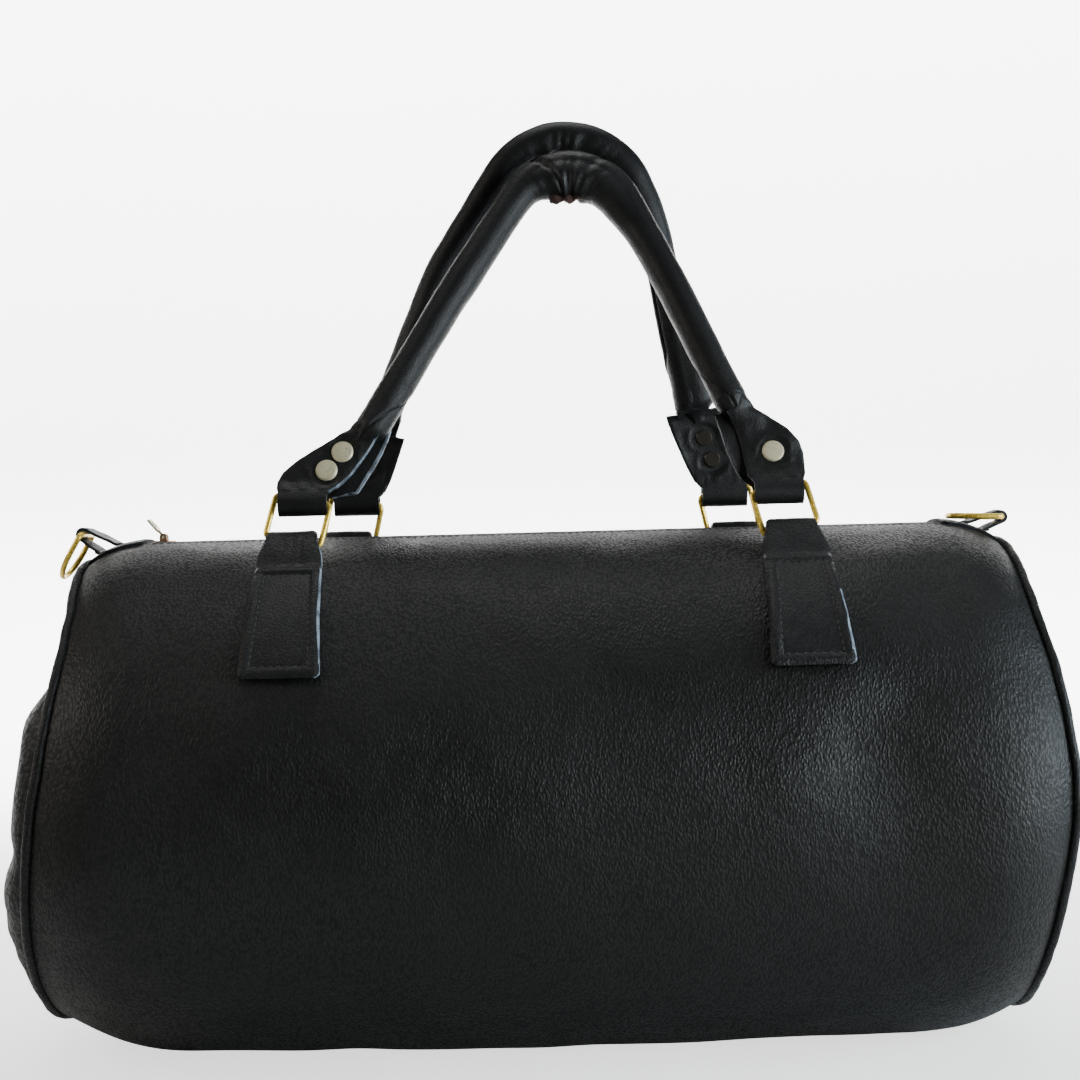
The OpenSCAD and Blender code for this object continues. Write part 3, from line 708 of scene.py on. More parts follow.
def leather(name, base, worn, cells, drawn_out, depth, rough, wrinkle):
    """A black leather: pebbled, unevenly handled, softly shining, with painted shade darkening the
    creases between its pebbles.
    """
    tree, shader, here = new_material(name)
    grain = place_group(tree, "pebbled_leather", {
        "Vector": here, "Cells": cells, "Drawn Out": drawn_out})
    wear = place_group(tree, "handling_wear", {"Vector": here})
    rubbed = math_node(tree, "MULTIPLY", wear["Flecks"], 0.35)
    share = math_node(tree, "MULTIPLY_ADD", wear["Cloud"], 0.45, rubbed, clamp=True)
    # Painted shade: darkens the base colour in the creases between pebbles
    creased = math_node(tree, "MULTIPLY", grain["Crease"], 0.7)
    dull = ramp(tree, wear["Cloud"], 0.0, 1.0, *rough)
    dull = math_node(tree, "MULTIPLY_ADD", grain["Crease"], 0.18, dull)
    fill(tree, shader, {
        "Base Color": blend(tree, creased, blend(tree, share, base, worn), CREASE_SHADE),
        "Roughness": math_node(tree, "MULTIPLY_ADD", wear["Flecks"], 0.05, dull),
        "Specular IOR Level": 0.3})
    raise_surface(tree, shader, (noise(tree, here, 60.0, 5.0, 0.55), wrinkle, 0.8),
                  (grain["Height"], depth, 1.0))


def cut_leather(name, fibres):
    """Cut leather with its fibres open."""
    tree, shader, here = new_material(name)
    fibre = noise(tree, here, 1300.0, 3.0)
    patchy = ramp(tree, noise(tree, here, 140.0, 3.0), 0.35, 0.6)
    share = math_node(tree, "MULTIPLY", patchy, 0.85)
    pale = blend(tree, share, scaled(fibres, 0.35), fibres)
    fill(tree, shader, {
        "Base Color": blend(tree, ramp(tree, fibre, 0.5, 0.75), pale, FIBRE_DARK),
        "Roughness": 0.72, "Specular IOR Level": 0.25})
    raise_surface(tree, shader, (fibre, 0.2 * MM, 0.8))


def fibres(name, dark, light, scale, detail, rough, depth):
    """Thread or cord, with the twist of its fibres."""
    tree, shader, here = new_material(name)
    twist = noise(tree, here, scale, detail)
    fill(tree, shader, {"Base Color": blend(tree, twist, dark, light), "Roughness": rough})
    raise_surface(tree, shader, (twist, depth, 0.8))


def metal(name, base, dark, rough, shine, front=None):
    """A polished metal, unevenly rubbed and a little tarnished. On a handle's rivets, the side
    behind the handle's plane is darkened."""
    tree, shader, here = new_material(name)
    stretched = vector_node(tree, "MULTIPLY", here, (1.0, 6.0, 1.0))[0]
    stain = noise(tree, here, 170.0, 4.0)
    worn = ramp(tree, stain, 0.45, 0.72)
    shade = blend(tree, worn, base, dark)
    if front is not None:
        origin, _, out = handle_frame(front)
        plane = float(origin @ out)
        along = vector_node(tree, "DOT_PRODUCT", here, tuple(out))["Value"]
        behind = ramp(tree, along, plane - 0.3 * MM, plane + 0.3 * MM, 1.0, 0.0)
        shade = blend(tree, behind, shade, RIVET_BACK)
    dull = ramp(tree, noise(tree, stretched, 900.0, 3.0), 0.3, 0.7, *rough)
    fill(tree, shader, {
        "Base Color": shade, "Metallic": shine,
        "Roughness": math_node(tree, "MULTIPLY_ADD", worn, 0.1, dull)})
    raise_surface(tree, shader, (stain, 0.006 * MM, 0.3))


def cloth(name, base, yarns, slant, depth, rough):
    """A woven cloth with slightly uneven dye, its yarn crowns painted lighter and the hollows
    between them painted darker.
    """
    tree, shader, here = new_material(name)
    yarn = place_group(tree, "woven_yarn", {"Vector": here, "Yarns": yarns, "Slant": slant})
    wear = place_group(tree, "handling_wear", {"Vector": here, "Cloud Size": 30.0})
    light = [min(1, k) for k in scaled(base, 1.9)]
    # Painted light and shade: yarn crowns lighter, the hollows between yarns darker
    shade = blend(tree, yarn["Height"], scaled(base, 0.5), light)
    uneven = math_node(tree, "MULTIPLY", wear["Cloud"], 0.3)
    fill(tree, shader, {
        "Base Color": blend(tree, uneven, shade, base), "Roughness": rough, "Sheen Weight": 0.25})
    raise_surface(tree, shader, (yarn["Height"], depth, 0.9))


def seen_glow(tree, seen, unseen):
    """A strength for the camera and another for the light itself, so a pale room stays dim."""
    ray = node(tree, "ShaderNodeLightPath").outputs["Is Camera Ray"]
    return math_node(tree, "MULTIPLY_ADD", ray, seen - unseen, unseen)


def pale_floor(name, pale, glow):
    """A plain pale surface with faint unevenness."""
    tree, shader, here = new_material(name)
    fill(tree, shader, {
        "Base Color": blend(tree, noise(tree, here, 3.0, 3.0), pale, scaled(pale, 0.97)),
        "Roughness": 0.7, "Emission Color": (1, 1, 1, 1),
        "Emission Strength": seen_glow(tree, glow, 0.0)})


def finishes_of_bag():
    """How each finish is made: its maker and the maker's settings."""
    c = colours()
    pale = dict(base=c.pale_brass, dark=scaled(c.pale_brass, 0.85), rough=(0.26, 0.36))
    return {
        "body_leather": (leather, dict(
            base=c.leather, worn=c.leather_worn, cells=450.0, drawn_out=1.9, depth=0.2 * MM,
            rough=(0.43, 0.55), wrinkle=1.1 * MM)),
        "end_leather": (leather, dict(
            base=c.leather, worn=c.leather_worn, cells=450.0, drawn_out=1.0, depth=0.24 * MM,
            rough=(0.43, 0.55), wrinkle=1.3 * MM)),
        "strap_leather": (leather, dict(
            base=c.strap, worn=c.leather_worn, cells=820.0, drawn_out=1.2, depth=0.16 * MM,
            rough=(0.4, 0.52), wrinkle=1.0 * MM)),
        "handle_leather": (leather, dict(
            base=c.strap, worn=c.leather_worn, cells=1150.0, drawn_out=1.0, depth=0.08 * MM,
            rough=(0.38, 0.48), wrinkle=0.6 * MM)),
        # Pale raw edge strips: partly the real cut edge, partly a painted highlight
        "raw_edge": (cut_leather, dict(fibres=c.raw_edge)),
        "cut_edge": (cut_leather, dict(fibres=c.cut_edge)),
        "frayed_leather": (cut_leather, dict(fibres=c.frayed)),
        "thread": (fibres, dict(
            dark=c.thread, light=scaled(c.thread, 3), scale=3200.0, detail=1.0, rough=0.55,
            depth=0.15 * MM)),
        "cord_fibre": (fibres, dict(
            dark=scaled(c.cord, 0.6), light=c.cord, scale=900.0, detail=3.0, rough=0.9,
            depth=0.3 * MM)),
        "ring_brass": (metal, dict(
            base=c.brass, dark=scaled(c.brass, 0.85), rough=(0.18, 0.3), shine=0.6)),
        "pull_brass": (metal, dict(shine=0.55, **pale)),
        "front_rivet_brass": (metal, dict(shine=0.5, front=True, **pale)),
        "rear_rivet_brass": (metal, dict(shine=0.5, front=False, **pale)),
        "zip_brass": (metal, dict(
            base=scaled(c.zip_metal, 1.6), dark=scaled(c.zip_metal, 0.6), rough=(0.28, 0.48),
            shine=0.8)),
        "zip_tape": (cloth, dict(
            base=c.tape, yarns=1300.0, slant=1.0, depth=0.18 * MM, rough=0.8)),
        "lining_cloth": (cloth, dict(
            base=c.lining, yarns=1100.0, slant=0.35, depth=0.15 * MM, rough=0.85)),
        "pale_floor": (pale_floor, dict(pale=bpy.context.scene.bag_stage.pale, glow=1.5)),
    }


def finish(name):
    """The material of a finish, made on its first use."""
    if "bag_" + name not in bpy.data.materials:
        maker, settings = finishes_of_bag()[name]
        maker(name, **settings)
    return bpy.data.materials["bag_" + name]


# The barrel

def wrap_barrel():
    """The leather wrapped round the barrel, its two long edges at the zip."""
    b = barrel()
    half = b.seam_to_seam / 2
    hem = 5 * MM

    def place(u, v):
        x = (2 * v - 1) * half
        start = gap_turn(x, b.gap / 2)
        turn = start + u * (2 * math.pi - 2 * start)
        beside = np.minimum(turn - start, 2 * math.pi - start - turn) * b.radius
        lift = 0.5 * MM * bump(beside, 0, hem) - 0.45 * MM * bump(beside, 3.2 * MM, 0.8 * MM)
        return barrel_point(x, turn, lift)

    piece = cut_sheet("body_leather_wrap", 230, 170, place)
    make_sheet(piece, ("body_leather", "cut_edge"), b.leather,
               ("bag", "body_leather", "body_panel"), offset=-1.0)


def seam_ring(left, share, lift=0.0):
    """Points on an end seam, for shares of a full turn."""
    half = barrel().seam_to_seam / 2
    x = np.full(len(share), -half if left else half)
    return barrel_point(x, 2 * math.pi * share, lift)


# Swellings of the left end near its seam: height in millimetres, place and reach up the end in
# metres, and place and reach as shares of the way to the seam
LEFT_SWELLINGS = ((1.5, 0.165, 0.02, 0.93, 0.1), (1.6, 0.084, 0.014, 0.88, 0.12))
# Its level creases: depth in millimetres, and place and reach up the end in metres
LEFT_CREASES = ((3.6, 0.112, 0.006), (2.2, 0.05, 0.008))


def end_shell(left, inset, rim_x):
    """A round end panel from its rim to its middle, with gathers along the seam."""
    b = barrel()
    side = -1 if left else 1
    swell = b.left_swell if left else b.right_swell

    def place(u, v):
        share = 1 - v
        rim = seam_ring(left, u, -b.welt / 2 - inset)
        middle = np.array([side * b.seam_to_seam / 2, 0.0, b.radius - b.floor_press])
        flat = rim * share[:, None] + middle * v[:, None]
        height = flat[:, 2]
        puff = np.sqrt(np.maximum(0, 1 - share ** 4))
        out = swell * puff
        if left:
            sunken = 0.8 * ease(height, 0.172, 0.2) * ease(share, 0.35, 0.85)
            out = out * (1 - sunken)
            for swelling, at, reach, near, wide in LEFT_SWELLINGS:
                out += swelling * MM * bump(height, at, reach) * bump(share, near, wide)
            for depth, at, reach in LEFT_CREASES:
                out -= depth * MM * bump(height, at, reach) * ease(share, 0.5, 0.9) * puff
        around = 2 * math.pi * u
        gather = np.sin(23 * around + 3.2 * np.sin(5 * around + 1) + 2 * np.sin(3 * around))
        uneven = 0.5 + 0.5 * np.sin(4 * around + 0.6)
        out += 0.8 * MM * gather * uneven * bump(share, 0.9, 0.09) * ease(1 - share, 0, 0.03)
        waves = 2.0 * ripple(flat, 0.11, 21 + left) + 0.7 * ripple(flat, 0.04, 31 + left)
        out += waves * MM * ease(v, 0, 0.2)
        flat[:, 0] += side * (rim_x + out)
        return flat

    return turned_over(place, left)


def close_ends():
    """The two round leather ends."""
    b = barrel()
    for left in (True, False):
        name = side_name(left) + "_end"
        piece = cut_sheet(name + "_leather", 150, 60, end_shell(left, 0, b.welt / 2))
        make_sheet(piece, ("end_leather", "cut_edge"), b.leather,
                   ("bag", "body_leather", name + "_panel"), offset=-1.0, shut=True)


def sweep(name, path, across, around, radius):
    """A closed tube: path and across are rows along it, radius(u, v) its thickness there."""
    ahead = unit_rows(np.gradient(path, axis=0))
    across = unit_rows(across - ahead * np.sum(across * ahead, axis=1, keepdims=True))
    third = np.cross(ahead, across)

    def place(u, v):
        row = along_path(np.hstack([path, across, third]), v)
        turn = 2 * math.pi * u
        away = row[:, 3:6] * np.cos(turn)[:, None] + row[:, 6:] * np.sin(turn)[:, None]
        return row[:, :3] + away * radius(u, v)[:, None]

    return cut_sheet(name, around, len(path) - 1, place)


def pipe_seams():
    """The welt along each end seam."""
    b = barrel()
    for left in (True, False):
        name = side_name(left) + "_piping"
        side = -1 if left else 1
        share = np.linspace(0, 1, 241)
        path = seam_ring(left, share, -0.5 * MM)
        path[:, 0] += side * b.welt / 2
        path[:, 2] = np.maximum(path[:, 2], b.welt / 2 + 0.1 * MM)
        wobble = 0.35 * MM * ripple(path, 0.03, 17)
        path[:, 0] += side * wobble
        out = seam_ring(left, share, 1.0) - seam_ring(left, share, 0.0)

        def radius(u, v, path=path):
            at = along_path(path, v)
            return b.welt / 2 * (1 + 0.07 * ripple(at, 0.012, 4)) + 0 * u

        piece = sweep(name + "_leather", path, out, 14, radius)
        make_tube(piece, "strap_leather", ("bag", "strap_leather", name))


# Linings

def line_barrel():
    """The cloth lining of the barrel and of its ends."""
    b = barrel()
    half = b.seam_to_seam / 2
    inset = b.leather + b.tape + 0.2 * MM + b.lining / 2

    def place(u, v):
        x = (2 * v - 1) * (half - 1 * MM)
        start = gap_turn(x, b.gap / 2 + 0.5 * MM)
        turn = start + u * (2 * math.pi - 2 * start)
        around = np.column_stack([x, np.sin(turn) * b.radius, np.cos(turn) * b.radius])
        loose = 0.5 * MM * ripple(around, 0.05, 41) - 0.6 * MM
        return barrel_point(x, turn, -inset + np.minimum(loose, 0) * ease(u * (1 - u), 0, 0.04))

    piece = cut_sheet("barrel_lining", 150, 80, place)
    make_sheet(piece, ("lining_cloth",), b.lining, ("bag", "lining_cloth", "body_lining"))
    for left in (True, False):
        name = side_name(left) + "_end"
        shell = end_shell(left, b.leather + 0.4 * MM, b.welt / 2 - b.leather - 0.6 * MM)
        piece = cut_sheet(name + "_cloth", 90, 30, shell)
        make_sheet(piece, ("lining_cloth",), b.lining,
                   ("bag", "lining_cloth", name + "_lining"), offset=-1.0, shut=True)


# Patches that carry the rings

def folded_strap(foot, step=0.7 * MM):
    """A strap folded round a ring's bar, as distances along and off its base.

    The bar is at the origin of the distances along. The strap starts at the foot of the
    outer layer, runs to the bar, round it and back below."""
    b = barrel()
    t = b.strap
    bore = b.ring_bore
    centre = AIR + bore + t
    middle = bore + t / 2
    under = AIR + t / 2
    upper = under + t
    start = 19 * MM
    reach = math.hypot(start, upper - centre)
    first = math.atan2(upper - centre, start) + math.acos(middle / reach)
    arc = [(middle * math.cos(a), centre + middle * math.sin(a))
           for a in np.linspace(first, 1.5 * math.pi, 40)]
    path = [(foot, upper), (start, upper), *arc, (foot - 2 * MM, under)]
    return soften(even(np.array(path), step), 6)


def patch_width(run):
    """Width of a patch at a distance down from its ring."""
    b = barrel()
    down = np.clip((run - 12 * MM) / (b.patch_length - 12 * MM), 0, 1)
    flare = b.patch_top + (b.patch_low - b.patch_top) * down
    neck = 24.0 * MM
    return neck + (flare - neck) * ease(run, 0, 15 * MM)


def patch_turn(front, run):
    pivot = PIVOTS[front]
    b = barrel()
    at = math.atan2(abs(pivot[1]), pivot[2] - (b.radius - b.floor_press))
    turn = at + run / b.radius
    return turn if front else 2 * math.pi - turn


BOX_TOP = 26.5 * MM
BOX_IN = 5.2 * MM


def patch_relief(across, run, width):
    """A full strap above the sewn box, full margins beside it and a groove along its stitches."""
    b = barrel()
    to_side = width / 2 - BOX_IN - np.abs(across)
    to_top, to_foot = run - BOX_TOP, b.patch_length - BOX_IN - run
    inside = np.minimum(np.minimum(to_side, to_top), to_foot)
    groove = 0.6 * MM * bump(inside, 0, 0.9 * MM) + 0.35 * MM * ease(inside, 0, 1.6 * MM)
    margin = 0.4 * MM * bump(inside, -2.6 * MM, 1.7 * MM)
    return margin - groove + 0.8 * MM * ease(to_top, -0.4 * MM, -1.8 * MM)


def sew_patch(front, left):
    """One keystone patch: a strap folded round its ring and sewn down."""
    b = barrel()
    name = f"{face_name(front)}_{side_name(left)}_patch"
    middle = abs(PIVOTS[front][0]) * (-1 if left else 1)
    path = folded_strap(b.patch_length)
    upper_rows = AIR + 1.5 * b.strap - 0.3 * MM
    seed = 101 + 2 * front + left

    def spread(u, v):
        row = along_path(path, v)
        run, lift = row[:, 0], row[:, 1]
        width = patch_width(run)
        corner = 2.4 * MM
        rounded = np.clip((run - (b.patch_length - corner)) / corner, 0, 1)
        on_top = ease(lift, upper_rows - 0.6 * MM, upper_rows)
        here = np.column_stack([40 * MM * np.sign(2 * u - 1), run, 0 * run])
        wander = 0.5 * MM * ripple(here, 0.022, seed) * ease(run, 6 * MM, 20 * MM)
        rounding = corner * (1 - np.sqrt(1 - rounded ** 2)) * (lift > upper_rows)
        across = (2 * u - 1) * (width / 2 + wander - rounding)
        to_edge = np.minimum(width / 2 - np.abs(across), b.patch_length - run)
        low_edge = 0.9 * MM * (1 - ease(to_edge, 0, 1.5 * MM)) * on_top
        spot = np.column_stack([across, run, 0 * run])
        creases = 0.6 * MM * np.abs(ripple(spot * [1.0, 0.35, 1], 0.009, seed + 7))
        creases = creases * bump(run, 11 * MM, 9 * MM)
        soft = 0.16 * MM * ripple(spot, 0.018, seed + 3)
        relief = patch_relief(across, run, width) * ease(run, 19 * MM, 24 * MM)
        return across, run, lift + on_top * (relief + creases + soft - low_edge)

    def place(u, v):
        across, run, lift = spread(u, v)
        return barrel_point(middle + across, patch_turn(front, run), lift)

    # Painted highlight: a pale strip on the raw right edge of the front patches, where light from
    # the right falls
    def raw(u, v):
        row = along_path(path, v)
        run, lift = row[:, 0], row[:, 1]
        right_edge = (1 - u) * patch_width(run) < 0.9 * MM
        return (lift > upper_rows) & right_edge & (run > (8 if left else 48) * MM) & front

    piece = cut_sheet(name + "_leather", 64, len(path) - 1, turned_over(place, not front), raw)
    make_sheet(piece, ("strap_leather", "cut_edge", "raw_edge"), b.strap,
               ("bag", "strap_leather", name))

    half_top = patch_width(np.array([BOX_TOP]))[0] / 2 - BOX_IN
    half_foot = patch_width(np.array([b.patch_length - BOX_IN]))[0] / 2 - BOX_IN
    corners = [(-half_top, BOX_TOP), (half_top, BOX_TOP), (half_foot, b.patch_length - BOX_IN),
               (-half_foot, b.patch_length - BOX_IN), (-half_top, BOX_TOP)]
    lift = AIR + 2 * b.strap - 0.42 * MM
    lines = []
    for (x0, run0), (x1, run1) in zip(corners, corners[1:]):
        runs = np.array([run0, run1])
        lines.append(barrel_line(middle + np.array([x0, x1]), patch_turn(front, runs), lift))
    sew(name + "_stitches", lines, "bag", "strap_leather")


def sew_patches():
    for front in (True, False):
        for left in (True, False):
            sew_patch(front, left)


# Handles, drawn in each handle's leaning plane

def handle_frame(front):
    """Middle of the upper bars, and the plane's upward and outward directions."""
    pivot, bar = PIVOTS[front], BARS[front]
    lean = math.atan2(bar[1] - pivot[1], bar[2] - pivot[2])
    up = np.array([0, math.sin(lean), math.cos(lean)])
    out = np.array([0, -math.cos(lean), math.sin(lean)]) * (1 if front else -1)
    return np.array([0, bar[1], bar[2]]), up, out


def in_plane(front, across, rise, off):
    """From a handle's plane to the frame."""
    origin, up, out = handle_frame(front)
    return origin + np.outer(across, [1, 0, 0]) + np.outer(rise, up) + np.outer(off, out)


def tab_slant(front, left):
    h = handles()
    return (h.front_left if left else h.front_right) if front else h.rear


def neck_point(front, left):
    h = handles()
    bar = handle_bar(front)
    slant = tab_slant(front, left)
    side = -1 if left else 1
    return np.array([side * (bar - math.sin(slant) * h.tab), math.cos(slant) * h.tab])


# Where each leg of a handle bends, left leg then right, of the front handle (True) and the rear
# one: its share of the leg, and how far it bows out there in millimetres
ELBOWS = {True: ((0.36, 1.8), (0.36, 1.0)), False: ((0.36, 9.5), (0.5, 10.0))}


def grip_path(front, step=1.3 * MM):
    """The middle of a rolled handle, from the left neck to the right one, in its plane."""
    h = handles()
    left, right = neck_point(front, True), neck_point(front, False)
    top = np.array([h.front_shift, h.front_peak] if front else [h.rear_shift, h.rear_peak])
    elbows = []
    for low, side, (share, bow) in zip((left, right), (-1, 1), ELBOWS[front]):
        leg = top - low
        away = np.array([side * abs(leg[1]), -side * leg[0]])
        elbows.append(low + share * leg + bow * MM * away / np.linalg.norm(away))
    corners = [left, elbows[0], top, elbows[1], right]
    bends = [h.elbow_bend, h.front_bend if front else h.rear_bend, h.elbow_bend]
    return sample_path(corners, bends, step)


def tab_middle(front, left, count=60):
    """The middle line of a tab, from the bar to past the neck, in the handle's plane."""
    h = handles()
    bar = handle_bar(front) * (-1 if left else 1)
    neck = neck_point(front, left)
    grip = grip_path(front)
    ahead = grip[8] - grip[0] if left else grip[-9] - grip[-1]
    ahead = ahead / np.linalg.norm(ahead)
    start = np.array([bar, 0.0])
    pull = h.tab * 0.9
    t = np.linspace(0, 1, count)[:, None]
    curve = ((2 * t ** 3 - 3 * t ** 2 + 1) * start + (t ** 3 - 2 * t ** 2 + t) * np.array([0, pull])
             + (3 * t ** 2 - 2 * t ** 3) * neck + (t ** 3 - t ** 2) * ahead * pull)
    past = neck + ahead * np.linspace(0.02, 0.2, 10)[:, None] * h.tab
    return even(np.concatenate([curve, past]), TAB_STEP)


# Distance between the points of a tab's middle line, and of a roll's
TAB_STEP = 0.5 * MM
ROLL_STEP = 1.25 * MM


def seam_turn(past_neck):
    """Turn of a roll's seam from its front towards the bag's middle, past the neck."""
    at_neck, further = math.radians(7), math.radians(112)
    return at_neck + further * ease(past_neck, -3 * MM, 32 * MM)


def roll_seam(u, past_neck, inner_at, to_front):
    """Depth of the groove along a roll's seam and height of the lap beside it, in millimetres."""
    seam_at = 0.5 + inner_at + to_front * (0.25 - seam_turn(past_neck) / (2 * math.pi))
    apart = (seam_at - u) % 1.0 - 0.5
    beside = apart * to_front
    lap = 0.55 * ease(beside, -0.16, -0.012) * (1 - ease(beside, -0.012, 0.004))
    return 0.9 * bump(apart, 0, 0.012), lap


def bunched_top(front, skin, from_top, inner, facing):
    """How leather bunches under the top of a roll, and how deep its creases are over the top, by
    the distance along the roll from there. All are in millimetres."""
    reach = (0.8 * bump(from_top, 3, 25) + 0.2 * bump(from_top, -14, 9)
             + 0.42 * bump(from_top, 34, 20))
    bunched = (11.0 if front else 3.0) * reach * np.clip(inner, 0, 1) ** 1.5
    lumps = 1.3 * ripple(skin * [1, 1, 0.5], 0.011, 75) * bump(from_top, 3, 20)
    lumps = lumps * np.clip(inner + 0.25, 0, 1)
    folds = np.sin(from_top * 0.9 + 2.1 * np.sin(from_top * 0.23) + 1.4 * inner)
    folds = 0.35 * folds * bump(from_top, 2, 24) * np.clip(inner + 0.7, 0, 1)
    deep = 2.3 * bump(from_top, -12 + 4 * inner, 1.7)
    deep = (deep + 0.8 * bump(from_top, 13 - 3 * inner, 2.0)) * np.clip(0.25 + facing, 0, 1)
    return bunched + lumps + folds, deep


def roll_handle(front):
    """One rolled leather handle with its seam, its slack and its bunched top."""
    h = handles()
    name = face_name(front) + "_grip"
    grip = grip_path(front)
    into = 12 * MM
    first, last = int(h.tab / TAB_STEP) - int(into / TAB_STEP), int(h.tab / TAB_STEP) - 2
    left, right = (tab_middle(front, side)[first:last] for side in (True, False))
    path = soften(even(np.concatenate([left, grip, right[::-1]]), ROLL_STEP), 10)
    run = (len(path) - 1) * ROLL_STEP
    path3 = in_plane(front, path[:, 0], path[:, 1], 0 * path[:, 0])
    out = np.tile(handle_frame(front)[2], (len(path), 1))
    top = np.argmax(path[:, 1]) / (len(path) - 1)
    inner_at = 0.25 if front else 0.75
    to_front = -1 if front else 1

    def radius(u, v):
        from_end = np.minimum(v, 1 - v) * run
        size = h.grip / 2 * (0.35 + 0.65 * ease(from_end, 0, into))
        inner = np.cos(2 * math.pi * (u - inner_at))
        facing = np.cos(2 * math.pi * u)
        at = along_path(path3, v)
        skin = at + 0.008 * np.column_stack([facing, inner, 0 * v])
        size = size * (1 + 0.035 * ripple(at, 0.06, 61 + front) + 0.02 * ripple(skin, 0.016, 71))
        low_right = bump((1 - v) * run, into, 0.05) * (v > 0.5) * (not front)
        size = size * (1 + 0.85 * low_right * np.clip(-inner, 0, 1) ** 2)
        bunched, creased = bunched_top(front, skin, (v - top) * run / MM, inner, facing)
        groove, lap = roll_seam(u, from_end - into, inner_at, to_front)
        return size + (bunched - creased - groove + lap) * MM

    piece = sweep(name + "_leather", path3, out, 84, radius)
    make_tube(piece, "handle_leather", (face_name(front) + "_handle", "handle_leather", name), 60)
    twist_cord(front, path3, out)
    if front:
        fray_top(path[np.argmax(path[:, 1])])


def fray_top(top):
    """Worn brown leather that hangs in crumbs under the bunched top of the front handle."""
    h = handles()

    def place(u, v):
        across = (u - 0.5) * 17 * MM - 2 * MM
        along = np.column_stack([across, 0 * u, 0 * u])
        hang = 1.4 + 3.6 * np.clip(ripple(along, 0.0062, 12) + 0.1, 0, 1) * bump(u, 0.4, 0.4)
        rise = top[1] - h.grip / 2 - (7.4 + (hang + 2.6) * v) * MM
        off = 0.9 * MM * ripple(np.column_stack([across, rise, 0 * u]), 0.005, 14) + 1.2 * MM
        return in_plane(True, top[0] + across, rise, off)

    piece = cut_sheet("frayed_top", 60, 9, place)
    make_sheet(piece, ("frayed_leather",), 1.4 * MM,
               ("front_handle", "handle_leather", "front_grip"))


def twist_cord(front, path, out):
    """The twisted cord that a handle is rolled round."""
    h = handles()
    name = face_name(front)
    run = (len(path) - 1) * ROLL_STEP
    strands, lay, short = 3, 26 * MM, 14

    def radius(u, v):
        turn = 2 * math.pi * (u * strands + v * run / lay)
        return (h.grip / 2 - 3 * MM) * (0.94 + 0.09 * np.abs(np.cos(turn / 2)))

    piece = sweep(name + "_rope", path[short:-short], out[short:-short], 30, radius)
    make_tube(piece, "cord_fibre", (name + "_handle", "cord_fibre", name + "_cord"), 80)


# The edges of a tab's two layers, row by row up from its ring's bar: its outer edge and its inner
# edge, each as distances inwards and up from the bar's middle in millimetres. First the rows that
# go round the bar
ROUND_BAR = ((-12.2, -10, 12.2, -10), (-12.3, 2, 12.3, 2))


def tab_rows(*rows):
    more = (0,) * (len(rows[0]) - 4)
    return np.array([*((*row, *more) for row in ROUND_BAR), *rows])


# The outer layer as the photograph shows it, with each row's share of closing into the roll
TAB_ROWS = {
    "front_left": tab_rows(
        (-13.1, 5, 17.6, 4.8, 0), (-13.0, 9, 21.2, 8.8, 0), (-10.4, 14, 25.2, 13.0, 0),
        (-4.2, 19.5, 28.8, 18.2, 0.02), (4.9, 25.6, 32.2, 23.2, 0.07),
        (14.6, 31.2, 35.6, 28.4, 0.22), (22.2, 36.6, 39.2, 33.0, 0.55),
        (26.6, 41.0, 41.8, 35.8, 0.85)),
    "front_right": tab_rows(
        (-13.6, 5.5, 14.8, 5.5, 0), (-13.9, 11, 15.8, 11, 0), (-13.8, 17.5, 16.8, 17, 0),
        (-12.0, 24, 17.8, 23, 0.02), (-6.4, 30.8, 19.4, 29.6, 0.07),
        (1.8, 37.2, 21.6, 35.6, 0.26), (9.4, 43.6, 24.8, 40.6, 0.62),
        (12.8, 48.6, 27.6, 43.8, 0.9)),
    "rear": tab_rows(
        (-13.4, 5.5, 14.8, 5.5, 0), (-13.6, 11, 16.0, 11, 0), (-12.6, 17, 17.2, 16.5, 0),
        (-9.4, 24, 19.0, 23, 0), (-3.6, 30.4, 21.0, 29.4, 0.03), (2.6, 36.6, 22.8, 35.4, 0.1),
        (7.4, 43.0, 24.8, 41.2, 0.34), (9.8, 47.2, 26.0, 44.6, 0.8)),
}
# The layer that comes back behind it
LINER_ROWS = {
    "front_left": tab_rows(
        (-12.0, 6, 27.0, 3.5), (-9.0, 13, 32.4, 11.0), (-2.0, 19.5, 36.2, 17.0),
        (7.5, 26, 39.6, 23.8), (17.0, 33, 42.2, 30.4), (26.0, 40, 43.6, 36.6)),
    "front_right": tab_rows(
        (-12.2, 6, 18.0, 5.5), (-12.2, 13, 22.0, 13), (-8.0, 22, 24.8, 20), (-1.0, 30, 26.6, 28),
        (7.5, 37, 28.2, 35), (13.5, 43, 29.0, 40)),
    "rear_left": tab_rows(
        (-12.2, 6, 16.2, 4.5), (-9.8, 13, 19.4, 11.0), (-6.0, 21, 22.2, 18.5),
        (-2.8, 28.5, 24.6, 25.2), (-0.6, 34.5, 26.4, 30.2), (0.4, 39, 27.2, 32.6)),
    "rear_right": tab_rows(
        (-12.0, 7, 16.6, 5.5), (-9.0, 16, 20.8, 14.0), (-5.4, 26, 24.6, 23.0),
        (-2.0, 35, 28.0, 31.4), (0.4, 42, 30.4, 38.0), (1.2, 45.5, 31.0, 40.6)),
}


# Radius of a rivet's cap, which presses the leather flat
RIVET_CAP = 6 * MM


